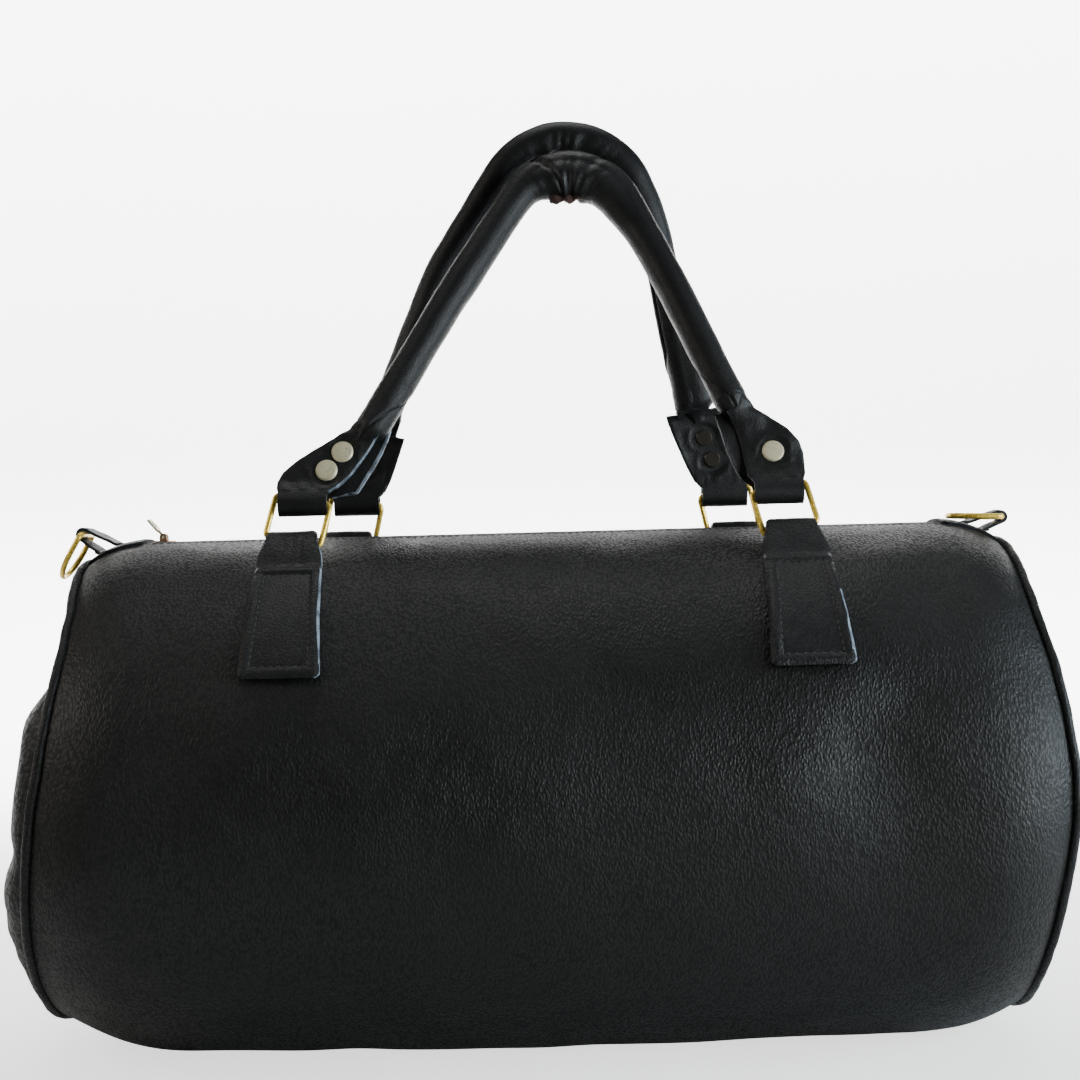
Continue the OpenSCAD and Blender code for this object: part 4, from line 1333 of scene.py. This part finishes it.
def rivet_spots(front, left):
    """Middles of a tab's rivets in its handle's plane."""
    part = frame["nodes"][face_name(front) + "_rivets"]
    origin, up, _ = handle_frame(front)
    flat = points_of(part) - origin
    flat = np.column_stack([flat[:, 0], flat @ up])
    flat = flat[(flat[:, 0] < 0) == left]
    spots = flat[[flat[:, 1].argmin(), flat[:, 1].argmax()]]
    if np.linalg.norm(spots[1] - spots[0]) < 14 * MM:
        return (flat.min(axis=0, keepdims=True) + flat.max(axis=0, keepdims=True)) / 2
    for _ in range(8):
        nearer = np.linalg.norm(flat[:, None] - spots, axis=2).argmin(axis=1)
        spots = np.array([flat[nearer == k].mean(axis=0) for k in (0, 1)])
    return spots


def close_section(u, wide, closed, seam):
    """One row of a tab's outer layer: its share of the way from the outer to the inner outline,
    and how far it lies off the handle's plane. It closes from a flat strip into the roll, with its
    inner edge lying on the roll's front."""
    full_roll = np.radians(346)
    turned = full_roll * closed
    first = math.pi - np.minimum(turned / 2, seam)
    last = first + turned
    low = np.where(last >= 1.5 * math.pi, -1.0, np.sin(last))
    past_low = np.where(last > 1.5 * math.pi, np.sin(np.minimum(last, 2.5 * math.pi)), -1)
    high = np.maximum(np.sin(first), past_low)
    flat = turned < 0.02
    rho = wide / np.where(flat, 1, high - low)
    turn = first + turned * (1 - u)
    share = np.where(flat, u, (np.sin(turn) - low) / np.where(flat, 1, high - low))
    risen = ease(closed, 0, 1)
    top = 1.85 * MM * (1 - risen) + risen * wide / 2
    round_ = ease(closed, 0.25, 1)
    depth = (1 - round_) * (top - 0.05 * MM) + round_ * 2 * rho
    return share, np.where(flat, top, top - depth * (1 + np.cos(turn)) / 2)


# How far above its ring's bar each of those ends, in millimetres
LINER_ENDS = {"front_left": 50, "front_right": 43, "rear_left": 38, "rear_right": 46}
# Past the neck the tab is a roll: distances in millimetres, and half widths as shares of the grip
PAST_NECK = ((0, 0.503), (5, 0.503), (11, 0.45))


def rows_past_neck(front, left):
    """The rows in which a tab is part of the roll already, made like those of TAB_ROWS."""
    h = handles()
    side = 1 if left else -1
    line = tab_middle(front, left)
    ahead = line[-1] - line[int(h.tab / TAB_STEP)]
    ahead = ahead / np.linalg.norm(ahead)
    inwards = np.array([ahead[1] * side, -ahead[0] * side])
    rows = []
    for past, size in PAST_NECK:
        middle = neck_point(front, left) + ahead * past * MM
        edges = middle - inwards * h.grip * size, middle + inwards * h.grip * size
        outer, inner = [(edge[0] * side + handle_bar(front), edge[1]) for edge in edges]
        rows.append([*outer, *inner, 0.97 + 0.03 * min(1, past)])
    return rows


def tab_profile(liner_end, top, layer, sunk):
    """A tab's way from the sunken end of the layer behind, round the ring's bar and up to the
    top, as distances up from the bar and off the handle's plane."""
    b = barrel()
    hang = 2.6 * MM
    surface = b.ring_bore + b.strap
    start = 13 * MM
    leaves = math.asin(surface / math.hypot(start + hang, layer)) - math.atan2(layer, start + hang)
    first = math.pi / 2 - leaves
    arc = [(surface * math.cos(a) - hang, surface * math.sin(a))
           for a in np.linspace(-first, first - 2 * math.pi, 40)]
    profile = [(liner_end, -layer - sunk), (liner_end * 0.8, -layer - 0.3 * MM),
               (start + 4 * MM, -layer), *arc, (start, layer), (top, layer)]
    return soften(even(np.array(profile), 0.8 * MM), 5)


def fold_tab(front, left):
    """One tab: the handle's leather opens flat, goes round the ring and back inside."""
    b, h = barrel(), handles()
    name = f"{face_name(front)}_{side_name(left)}"
    rows = TAB_ROWS[name if front else "rear"] * [MM, MM, MM, MM, 1]
    rows = np.vstack([rows, *rows_past_neck(front, left)])
    liner = LINER_ROWS[name] * MM
    side = 1 if left else -1
    bar = handle_bar(front)
    layer = b.strap + 0.05 * MM
    knots = np.concatenate([[-10, 2], np.linspace(7, 49, len(TAB_ROWS["rear"]) - 2),
                            [h.tab / MM + past for past, _ in PAST_NECK]]) * MM
    liner_end = LINER_ENDS[name] * MM
    liner_knots = np.concatenate([knots[:2], np.linspace(7 * MM, liner_end, len(liner) - 2)])
    profile = tab_profile(liner_end, knots[-1], layer, 3.0 * MM if front else 1.6 * MM)
    spots = rivet_spots(front, left)
    seed = 81 + 2 * front + left

    def place(u, v):
        row = along_path(profile, v)
        run, off = row[:, 0], row[:, 1]
        outer = ease(off, 0.2 * MM, layer)
        edges, back = read_rows(run, knots, rows), read_rows(run, liner_knots, liner)
        wide = np.linalg.norm(edges[:, 2:4] - edges[:, :2], axis=1)
        share, risen = close_section(u, wide, edges[:, 4], seam_turn(run - h.tab))
        at = edges[:, :2] + (edges[:, 2:4] - edges[:, :2]) * share[:, None]
        behind = back[:, :2] + (back[:, 2:] - back[:, :2]) * u[:, None]
        at = at * outer[:, None] + behind * (1 - outer[:, None])
        x = side * (at[:, 0] - bar)
        off = off + (risen - layer) * ease(run, 10 * MM, 16 * MM) * outer
        spot = np.column_stack([at, 0.01 * outer])
        crease = 0.55 * MM * np.abs(ripple(spot * [1, 0.3, 1], 0.008, seed + 9))
        crease = crease * bump(run, 7 * MM, 7 * MM)
        wave = 0.45 * MM * ripple(spot, 0.022, seed) + 0.2 * MM * ripple(spot, 0.009, seed + 4)
        still = 1 - ease(run, 44 * MM, 52 * MM)
        from_rivet = np.column_stack([x, at[:, 1]])[:, None] - spots
        from_rivet = np.linalg.norm(from_rivet, axis=2).min(axis=1)
        pressed = 1 - ease(from_rivet, RIVET_CAP, RIVET_CAP + 3.5 * MM)
        pucker = 0.35 * MM * bump(from_rivet, RIVET_CAP + 2 * MM, 2.4 * MM)
        pucker = pucker * (1 + ripple(spot, 0.006, seed + 2))
        edge = np.minimum(u, 1 - u) * wide
        turned_down = 0.5 * MM * (1 - ease(edge, 0, 1.6 * MM)) * still
        curl = (0.6 if front else 1.2) * MM * bump((1 - u) * wide, 0, 3.2 * MM)
        curl = curl * ease(run, 8 * MM, 18 * MM) * (1 - ease(edges[:, 4], 0.05, 0.5))
        curl = curl * (outer if front else outer - 1)
        shape = (crease + (wave + pucker) * still - turned_down - curl) * ease(run, 2 * MM, 6 * MM)
        above = outer > 0.5
        off = off + shape * np.where(above, 1, -0.7)
        flat = np.where(above, layer - 0.1 * MM, -layer + 0.1 * MM)
        off = np.where(run > 4 * MM, off * (1 - pressed) + flat * pressed, off)
        return in_plane(front, x, at[:, 1], off)

    # Painted highlight: only the front left tab's inner raw edge, which catches the light, gets the
    # pale strip
    def raw(u, v):
        run = along_path(profile, v)[:, 0]
        return (u > 0.96) & (run > 3 * MM) & (run < 56 * MM) & (name == "front_left")

    over = left != front
    piece = cut_sheet(name + "_tab_leather", 76, len(profile) - 1, turned_over(place, over),
                      turned_over(raw, over))
    make_sheet(piece, ("handle_leather", "cut_edge", "raw_edge"), b.strap,
               (face_name(front) + "_handle", "strap_leather", name + "_tab"), offset=-1.0)


def make_handles():
    for front in (True, False):
        roll_handle(front)
        for left in (True, False):
            fold_tab(front, left)


# Loops of the D-rings, over the leathers that close the gap past the zip

# Thickness of those leathers
ZIP_END = 1.6 * MM


def loop_d_ring(left):
    """A strap folded round a D-ring's bar, its two ends sewn down past the zip."""
    b = barrel()
    bar = D_BARS[left]
    side = -1 if left else 1
    half = b.seam_to_seam / 2
    wire, loose, thick = 1.5 * MM, 0.7 * MM, 1.5 * MM
    middle = wire + loose + thick / 2

    def seat(x):
        return barrel_point(np.array([x]), np.array([0.0]), AIR + ZIP_END + 0.9 * MM)[0][2]

    x0, x1 = half - 13 * MM, half - 4.2 * MM
    centre = np.array([side * bar[0], bar[2]])
    low, high = np.array([x1, seat(x1)]), np.array([x0, seat(x0)])
    start, end = low + [2.0 * MM, 0], high - [3.0 * MM, 0]
    toward = math.atan2(*(centre - (low + high) / 2)[::-1])
    arc = [centre + middle * np.array([math.cos(a), math.sin(a)])
           for a in np.linspace(toward - 1.75, toward + 1.75, 40)]
    path = soften(even(np.array([start, low, *arc, high, end]), 0.5 * MM), 5)

    def place(u, v):
        row = along_path(path, v)
        wide = 10 * MM * (1 - 0.05 * np.sin(v * math.pi))
        across = (2 * u - 1) * wide
        wave = 0.25 * MM * ripple(np.column_stack([row[:, 0], across, row[:, 1]]), 0.012, 91 + left)
        return np.column_stack([side * row[:, 0], across, row[:, 1] + wave])

    name = side_name(left) + "_d_loop"
    piece = cut_sheet(name + "_leather", 26, len(path) - 1, turned_over(place, not left))
    make_sheet(piece, ("strap_leather", "cut_edge"), thick, ("bag", "strap_leather", name))


def loop_d_rings():
    for left in (True, False):
        loop_d_ring(left)


def cover_zip_end(left):
    """The leather that closes the top gap past one end of the zip, with its stitches."""
    b = barrel()
    side = -1 if left else 1
    half = b.seam_to_seam / 2
    start, end = b.zip_half - 1.1 * MM, half - 0.3 * MM
    wide = b.gap / 2 + 7 * MM

    def place(u, v):
        across = (2 * u - 1) * wide
        run = start + v * (end - start)
        corner = 3.0 * MM
        cut = np.clip((start + corner - run) / corner, 0, 1)
        across = across * (1 - corner / wide * (1 - np.sqrt(1 - cut ** 2)))
        to_edge = np.minimum(wide - np.abs(across), run - start)
        relief = 0.4 * MM * ease(to_edge, 0, 2 * MM) - 0.45 * MM * bump(to_edge, 3 * MM, 0.7 * MM)
        turn = -np.arcsin(across / shoulder_radius(run)) % (2 * math.pi)
        return barrel_point(side * run, turn, AIR + ZIP_END / 2 + relief)

    name = side_name(left) + "_zip_end"
    piece = cut_sheet(name + "_leather", 46, 32, turned_over(place, not left))
    make_sheet(piece, ("strap_leather", "cut_edge"), ZIP_END, ("bag", "strap_leather", name))
    line = wide - 3 * MM
    xs = side * np.array([end - 2 * MM, start + 3 * MM])
    turn = line / b.radius
    far_turn = 2 * math.pi - turn
    lines = [barrel_line(xs, [at, at], ZIP_END) for at in (turn, far_turn)]
    lines += [barrel_line([xs[1]] * 2, ends, ZIP_END)
              for ends in ([0.0, turn], [far_turn, 2 * math.pi])]
    sew(name + "_stitches", lines, "bag", "strap_leather")


def cover_zip_ends():
    for left in (True, False):
        cover_zip_end(left)


# The zip

TOOTH_PITCH = 4 * MM
TOOTH_WIDE = 1.75 * MM
TOOTH_LONG = 4.1 * MM
# How far a tooth's tip reaches past the zip's middle, and where the first one stands in its row
TOOTH_PAST = 0.35 * MM
TOOTH_START = 0.95 * MM


def tooth_shape():
    """One zip tooth pointing along -Y, its jaws on the tape, with its points and faces."""
    deselect()
    bpy.ops.mesh.primitive_cube_add(size=1)
    edit(bpy.context.object, lambda: bpy.ops.mesh.subdivide(number_cuts=2),
         lambda: bpy.ops.mesh.bevel(offset=0.06, segments=1, affect="EDGES"))
    points, faces = take_shape()
    head = 1 - ease(points[:, 1], -0.35, 0.1)
    points[:, 2] *= 1 - 0.32 * head
    points[:, 0] *= 1 - 0.22 * bump(points[:, 1], 0.05, 0.14)
    return points, faces


def hang_teeth(front):
    """One row of metal teeth along the inner edge of its tape."""
    shape, faces = tooth_shape()
    name = face_name(front) + "_zip_teeth"
    low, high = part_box(name)
    side = -1 if front else 1
    tooth = shape * [TOOTH_WIDE, TOOTH_LONG * side, high[2] - low[2]]
    off = side * (TOOTH_LONG / 2 - TOOTH_PAST)
    count = int((high[0] - low[0]) / TOOTH_PITCH) + 1
    copies = [tooth + [low[0] + TOOTH_START + i * TOOTH_PITCH, off, (low[2] + high[2]) / 2]
              for i in range(count)]
    piece = many_copies(name + "_metal", copies, [face[::-1 if front else 1] for face in faces], 35)
    dress(piece, "zip_brass")
    settle(piece, face_name(front) + "_zip_side", "zip_brass", name)


def weave_tape(front):
    """One side of the zip's tape, with its corded inner edge."""
    b = barrel()
    name = face_name(front) + "_zip_tape"
    low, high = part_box(name)
    near, far = (high[1], low[1]) if front else (low[1], high[1])
    z = (low[2] + high[2]) / 2

    def place(u, v):
        x = low[0] + u * (high[0] - low[0])
        y = near + v * (far - near)
        ridge = 0.1 * MM * np.sin(v * math.pi * 9)
        return np.column_stack([x, y, z + ridge])

    piece = cut_sheet(name + "_cloth", 190, 26, turned_over(place, front))
    make_sheet(piece, ("zip_tape",), b.tape * 0.8,
               (face_name(front) + "_zip_side", "zip_tape", name))


def weave_tapes():
    """Both sides of the zip with their teeth."""
    for front in (True, False):
        weave_tape(front)
        hang_teeth(front)


def weave_tape_frame():
    """The sewn margins of the tape under the leather, and the zip's short closed ends."""
    b = barrel()
    low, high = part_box("zip_tape_frame")
    inner = ZIP_HINGE[1] + 0.45 * MM
    depth = b.leather + 0.1 * MM + b.tape / 2
    gap, tape_end = 2.6 * MM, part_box("front_zip_tape")[1][0] + 0.6 * MM
    parts = []
    for side in (-1, 1):
        def margin(u, v, side=side):
            x = low[0] + u * (high[0] - low[0])
            y = inner + v * (high[1] - inner)
            turn = (-side * np.arcsin(y / b.radius)) % (2 * math.pi)
            return barrel_point(x, turn, -depth)

        parts.append(cut_sheet("tape_margin", 120, 8, turned_over(margin, side < 0)))
        for end in (-1, 1):
            def close(u, v, side=side, end=end):
                x = end * (tape_end + u * (high[0] - tape_end))
                y = side * (gap + v * (inner + 0.1 * MM - gap))
                return np.column_stack([x, y, np.full(len(u), ZIP_HINGE[2])])

            parts.append(cut_sheet("tape_end", 10, 6, turned_over(close, end * side < 0)))
    pick(parts[0])
    for part in parts:
        part.select_set(True)
    bpy.ops.object.join()
    piece = bpy.context.object
    piece.name = piece.data.name = "zip_tape_frame_cloth"
    make_sheet(piece, ("zip_tape",), b.tape * 0.9, ("bag", "zip_tape", "zip_tape_frame"))


def sew_zip():
    """Two rows of stitches along each leather edge beside the zip."""
    b = barrel()
    reach = b.zip_half - 2 * MM
    lines = []
    for beside in (3.2 * MM, 6.4 * MM):
        turn = (b.gap / 2 + beside) / b.radius
        for place in (turn, 2 * math.pi - turn):
            lines.append(barrel_line([-reach, reach], [place, place], -0.1 * MM))
    sew("zip_stitches", lines, "bag", "body_leather")


# Metal parts that keep their CAD shape

METAL_NODES = {
    "left_d_ring": "ring_brass", "right_d_ring": "ring_brass",
    "front_left_ring": "ring_brass", "front_right_ring": "ring_brass",
    "rear_left_ring": "ring_brass", "rear_right_ring": "ring_brass",
    "front_rivets": "front_rivet_brass", "rear_rivets": "rear_rivet_brass",
    "zip_slider": "zip_brass", "zip_stops": "zip_brass", "zip_pull": "pull_brass",
}


def polish_metal():
    """Brass and antique metal for the parts that keep their own shape."""
    for name, metal_name in METAL_NODES.items():
        part = frame["nodes"][name]
        part.data.materials.clear()
        part.data.materials.append(finish(metal_name))


# Stage

# Each light's place, aim, width and height, power in watts, tint and spread in degrees. The camera
# side is dim, because black leather shows every light that it mirrors
LIGHTS = {
    "top_light": ((-0.1, 0.05, 1.3), (0, -0.02, 0.2), (1.3, 0.4), 1.1, (0.97, 0.98, 1.0), 100),
    "window_light": ((1.2, -0.36, 0.42), (0.2, 0, 0.15), (0.45, 0.75), 7, (0.74, 0.88, 1.0), 110),
    "side_light": ((0.8, -0.85, 0.35), (0.1, 0, 0.2), (0.3, 0.5), 3.0, (0.93, 0.98, 0.97), 110),
    "room_light": ((-1.15, -0.3, 0.75), (-0.22, 0, 0.2), (0.5, 0.5), 1.5, (1.0, 0.95, 0.86), 90),
    "wall_light": ((0.0, 0.78, 1.75), (0, 1.43, 0.5), (3.2, 0.4), 108, (1, 1, 1), 75),
    "floor_light": ((0.0, 0.42, 1.5), (0, 0.75, 0), (3.2, 0.35), 17, (1, 1, 1), 75),
}


def area_light(name, place, aim, size, power, tint, spread):
    deselect()
    bpy.ops.object.light_add(type="AREA", location=place)
    lamp = bpy.context.object
    lamp.name = name
    lamp.data.shape = "RECTANGLE"
    lamp.data.size, lamp.data.size_y = size
    lamp.data.energy = power
    lamp.data.color = tint
    lamp.data.spread = math.radians(spread)
    lamp.rotation_euler = (Vector(aim) - Vector(place)).to_track_quat("-Z", "Y").to_euler()
    lamp.visible_camera = False


def set_stage():
    """A plain pale floor with a curved backdrop, soft light and the photograph's camera."""
    st = bpy.context.scene.bag_stage
    before, behind, curve, wide, run_length = -3.0, 1.05, 0.35, 3.2, 5.4

    def place(u, v):
        run = before + v * run_length
        over = np.clip(run - behind, 0, None)
        turn = np.clip(over / curve, 0, math.pi / 2)
        up = np.clip(over - curve * math.pi / 2, 0, None)
        y = np.minimum(run, behind) + curve * np.sin(turn)
        z = curve * (1 - np.cos(turn)) + up
        return np.column_stack([(u - 0.5) * 2 * wide, y, z - 0.2 * MM])

    floor = cut_sheet("pale_stage", 8, 130, place)
    smooth(floor)
    dress(floor, "pale_floor")

    for name, settings in LIGHTS.items():
        area_light(name, *settings)

    world = bpy.data.worlds.new("soft_room")
    bpy.context.scene.world = world
    world.use_nodes = True
    back = world.node_tree.nodes["Background"]
    back.inputs["Color"].default_value = (0.93, 0.96, 1.0, 1)
    world.node_tree.links.new(seen_glow(world.node_tree, 2.4, 0.034), back.inputs["Strength"])

    deselect()
    ahead = Vector((math.sin(st.yaw), math.cos(st.yaw), 0))
    right = Vector((math.cos(st.yaw), -math.sin(st.yaw), 0))
    place = right * st.aside - ahead * st.distance + Vector((0, 0, st.height))
    bpy.ops.object.camera_add(location=place)
    camera = bpy.context.object
    camera.name = "camera"
    camera.rotation_euler = Euler((math.pi / 2, 0, -st.yaw), "XYZ")
    camera.rotation_euler.rotate_axis("Z", -st.roll)
    camera.data.lens = st.lens
    camera.data.sensor_width = FULL_FRAME
    bpy.context.scene.camera = camera


# Operators, one for each group of pieces and one for the stage

class Step:
    """What every step of the bag does: its works, one after another"""

    def execute(self, context):
        for work in self.works:
            work()
        return {"FINISHED"}


class BAG_OT_wrap_barrel(Step, bpy.types.Operator):
    """Wrap the barrel in its pebbled leather"""
    bl_idname = "bag.wrap_barrel"
    bl_label = "Barrel leather"
    works = (wrap_barrel,)


class BAG_OT_close_ends(Step, bpy.types.Operator):
    """Close the barrel with its two gathered ends"""
    bl_idname = "bag.close_ends"
    bl_label = "End panels"
    works = (close_ends,)


class BAG_OT_pipe_seams(Step, bpy.types.Operator):
    """Lay the welt along both end seams"""
    bl_idname = "bag.pipe_seams"
    bl_label = "Welts"
    works = (pipe_seams,)


class BAG_OT_line_barrel(Step, bpy.types.Operator):
    """Line the barrel and its ends with cloth"""
    bl_idname = "bag.line_barrel"
    bl_label = "Lining"
    works = (line_barrel,)


class BAG_OT_sew_patches(Step, bpy.types.Operator):
    """Sew on the four patches that carry the rings"""
    bl_idname = "bag.sew_patches"
    bl_label = "Patches"
    works = (sew_patches,)


class BAG_OT_make_handles(Step, bpy.types.Operator):
    """Roll both handles and fold their tabs round the rings"""
    bl_idname = "bag.make_handles"
    bl_label = "Handles"
    works = (make_handles,)


class BAG_OT_fit_zip(Step, bpy.types.Operator):
    """Fit the zip's tape, teeth, stitches and end leathers"""
    bl_idname = "bag.fit_zip"
    bl_label = "Zip"
    works = (weave_tape_frame, weave_tapes, sew_zip, cover_zip_ends)


class BAG_OT_loop_d_rings(Step, bpy.types.Operator):
    """Fold the loops that hold the D-rings"""
    bl_idname = "bag.loop_d_rings"
    bl_label = "D-ring loops"
    works = (loop_d_rings,)


class BAG_OT_polish_metal(Step, bpy.types.Operator):
    """Give the rings, rivets, slider and pull their metals"""
    bl_idname = "bag.polish_metal"
    bl_label = "Metal"
    works = (polish_metal,)


class BAG_OT_set_stage(Step, bpy.types.Operator):
    """Set the pale stage, the soft light and the camera"""
    bl_idname = "bag.set_stage"
    bl_label = "Stage"
    works = (set_stage,)


STEPS = (BAG_OT_wrap_barrel, BAG_OT_close_ends, BAG_OT_pipe_seams, BAG_OT_line_barrel,
         BAG_OT_sew_patches, BAG_OT_make_handles, BAG_OT_fit_zip, BAG_OT_loop_d_rings,
         BAG_OT_polish_metal, BAG_OT_set_stage)
GROUPS = {"bag_barrel": BarrelSizes, "bag_handles": HandleSizes, "bag_colours": BagColours,
          "bag_stage": StageSettings}


class BAG_PT_panel(bpy.types.Panel):
    """Sizes, colours and steps of the barrel bag"""
    bl_idname = "BAG_PT_panel"
    bl_label = "Barrel Bag"
    bl_space_type = "VIEW_3D"
    bl_region_type = "UI"
    bl_category = "Barrel Bag"

    def draw(self, context):
        for attribute, group in GROUPS.items():
            box = self.layout.box()
            for name in group.__annotations__:
                box.prop(getattr(context.scene, attribute), name)
        for step in STEPS:
            self.layout.operator(step.bl_idname)


def register():
    for attribute, group in GROUPS.items():
        bpy.utils.register_class(group)
        setattr(bpy.types.Scene, attribute, bpy.props.PointerProperty(type=group))
    for step in STEPS:
        bpy.utils.register_class(step)
    bpy.utils.register_class(BAG_PT_panel)


def unregister():
    bpy.utils.unregister_class(BAG_PT_panel)
    for step in reversed(STEPS):
        bpy.utils.unregister_class(step)
    for attribute, group in GROUPS.items():
        delattr(bpy.types.Scene, attribute)
        bpy.utils.unregister_class(group)


def main():
    register()
    for step in STEPS:
        family, name = step.bl_idname.split(".")
        result = getattr(getattr(bpy.ops, family), name)()
        if result != {"FINISHED"}:
            raise RuntimeError(f"{step.bl_label} wasn't finished")


if __name__ == "__main__":
    main()
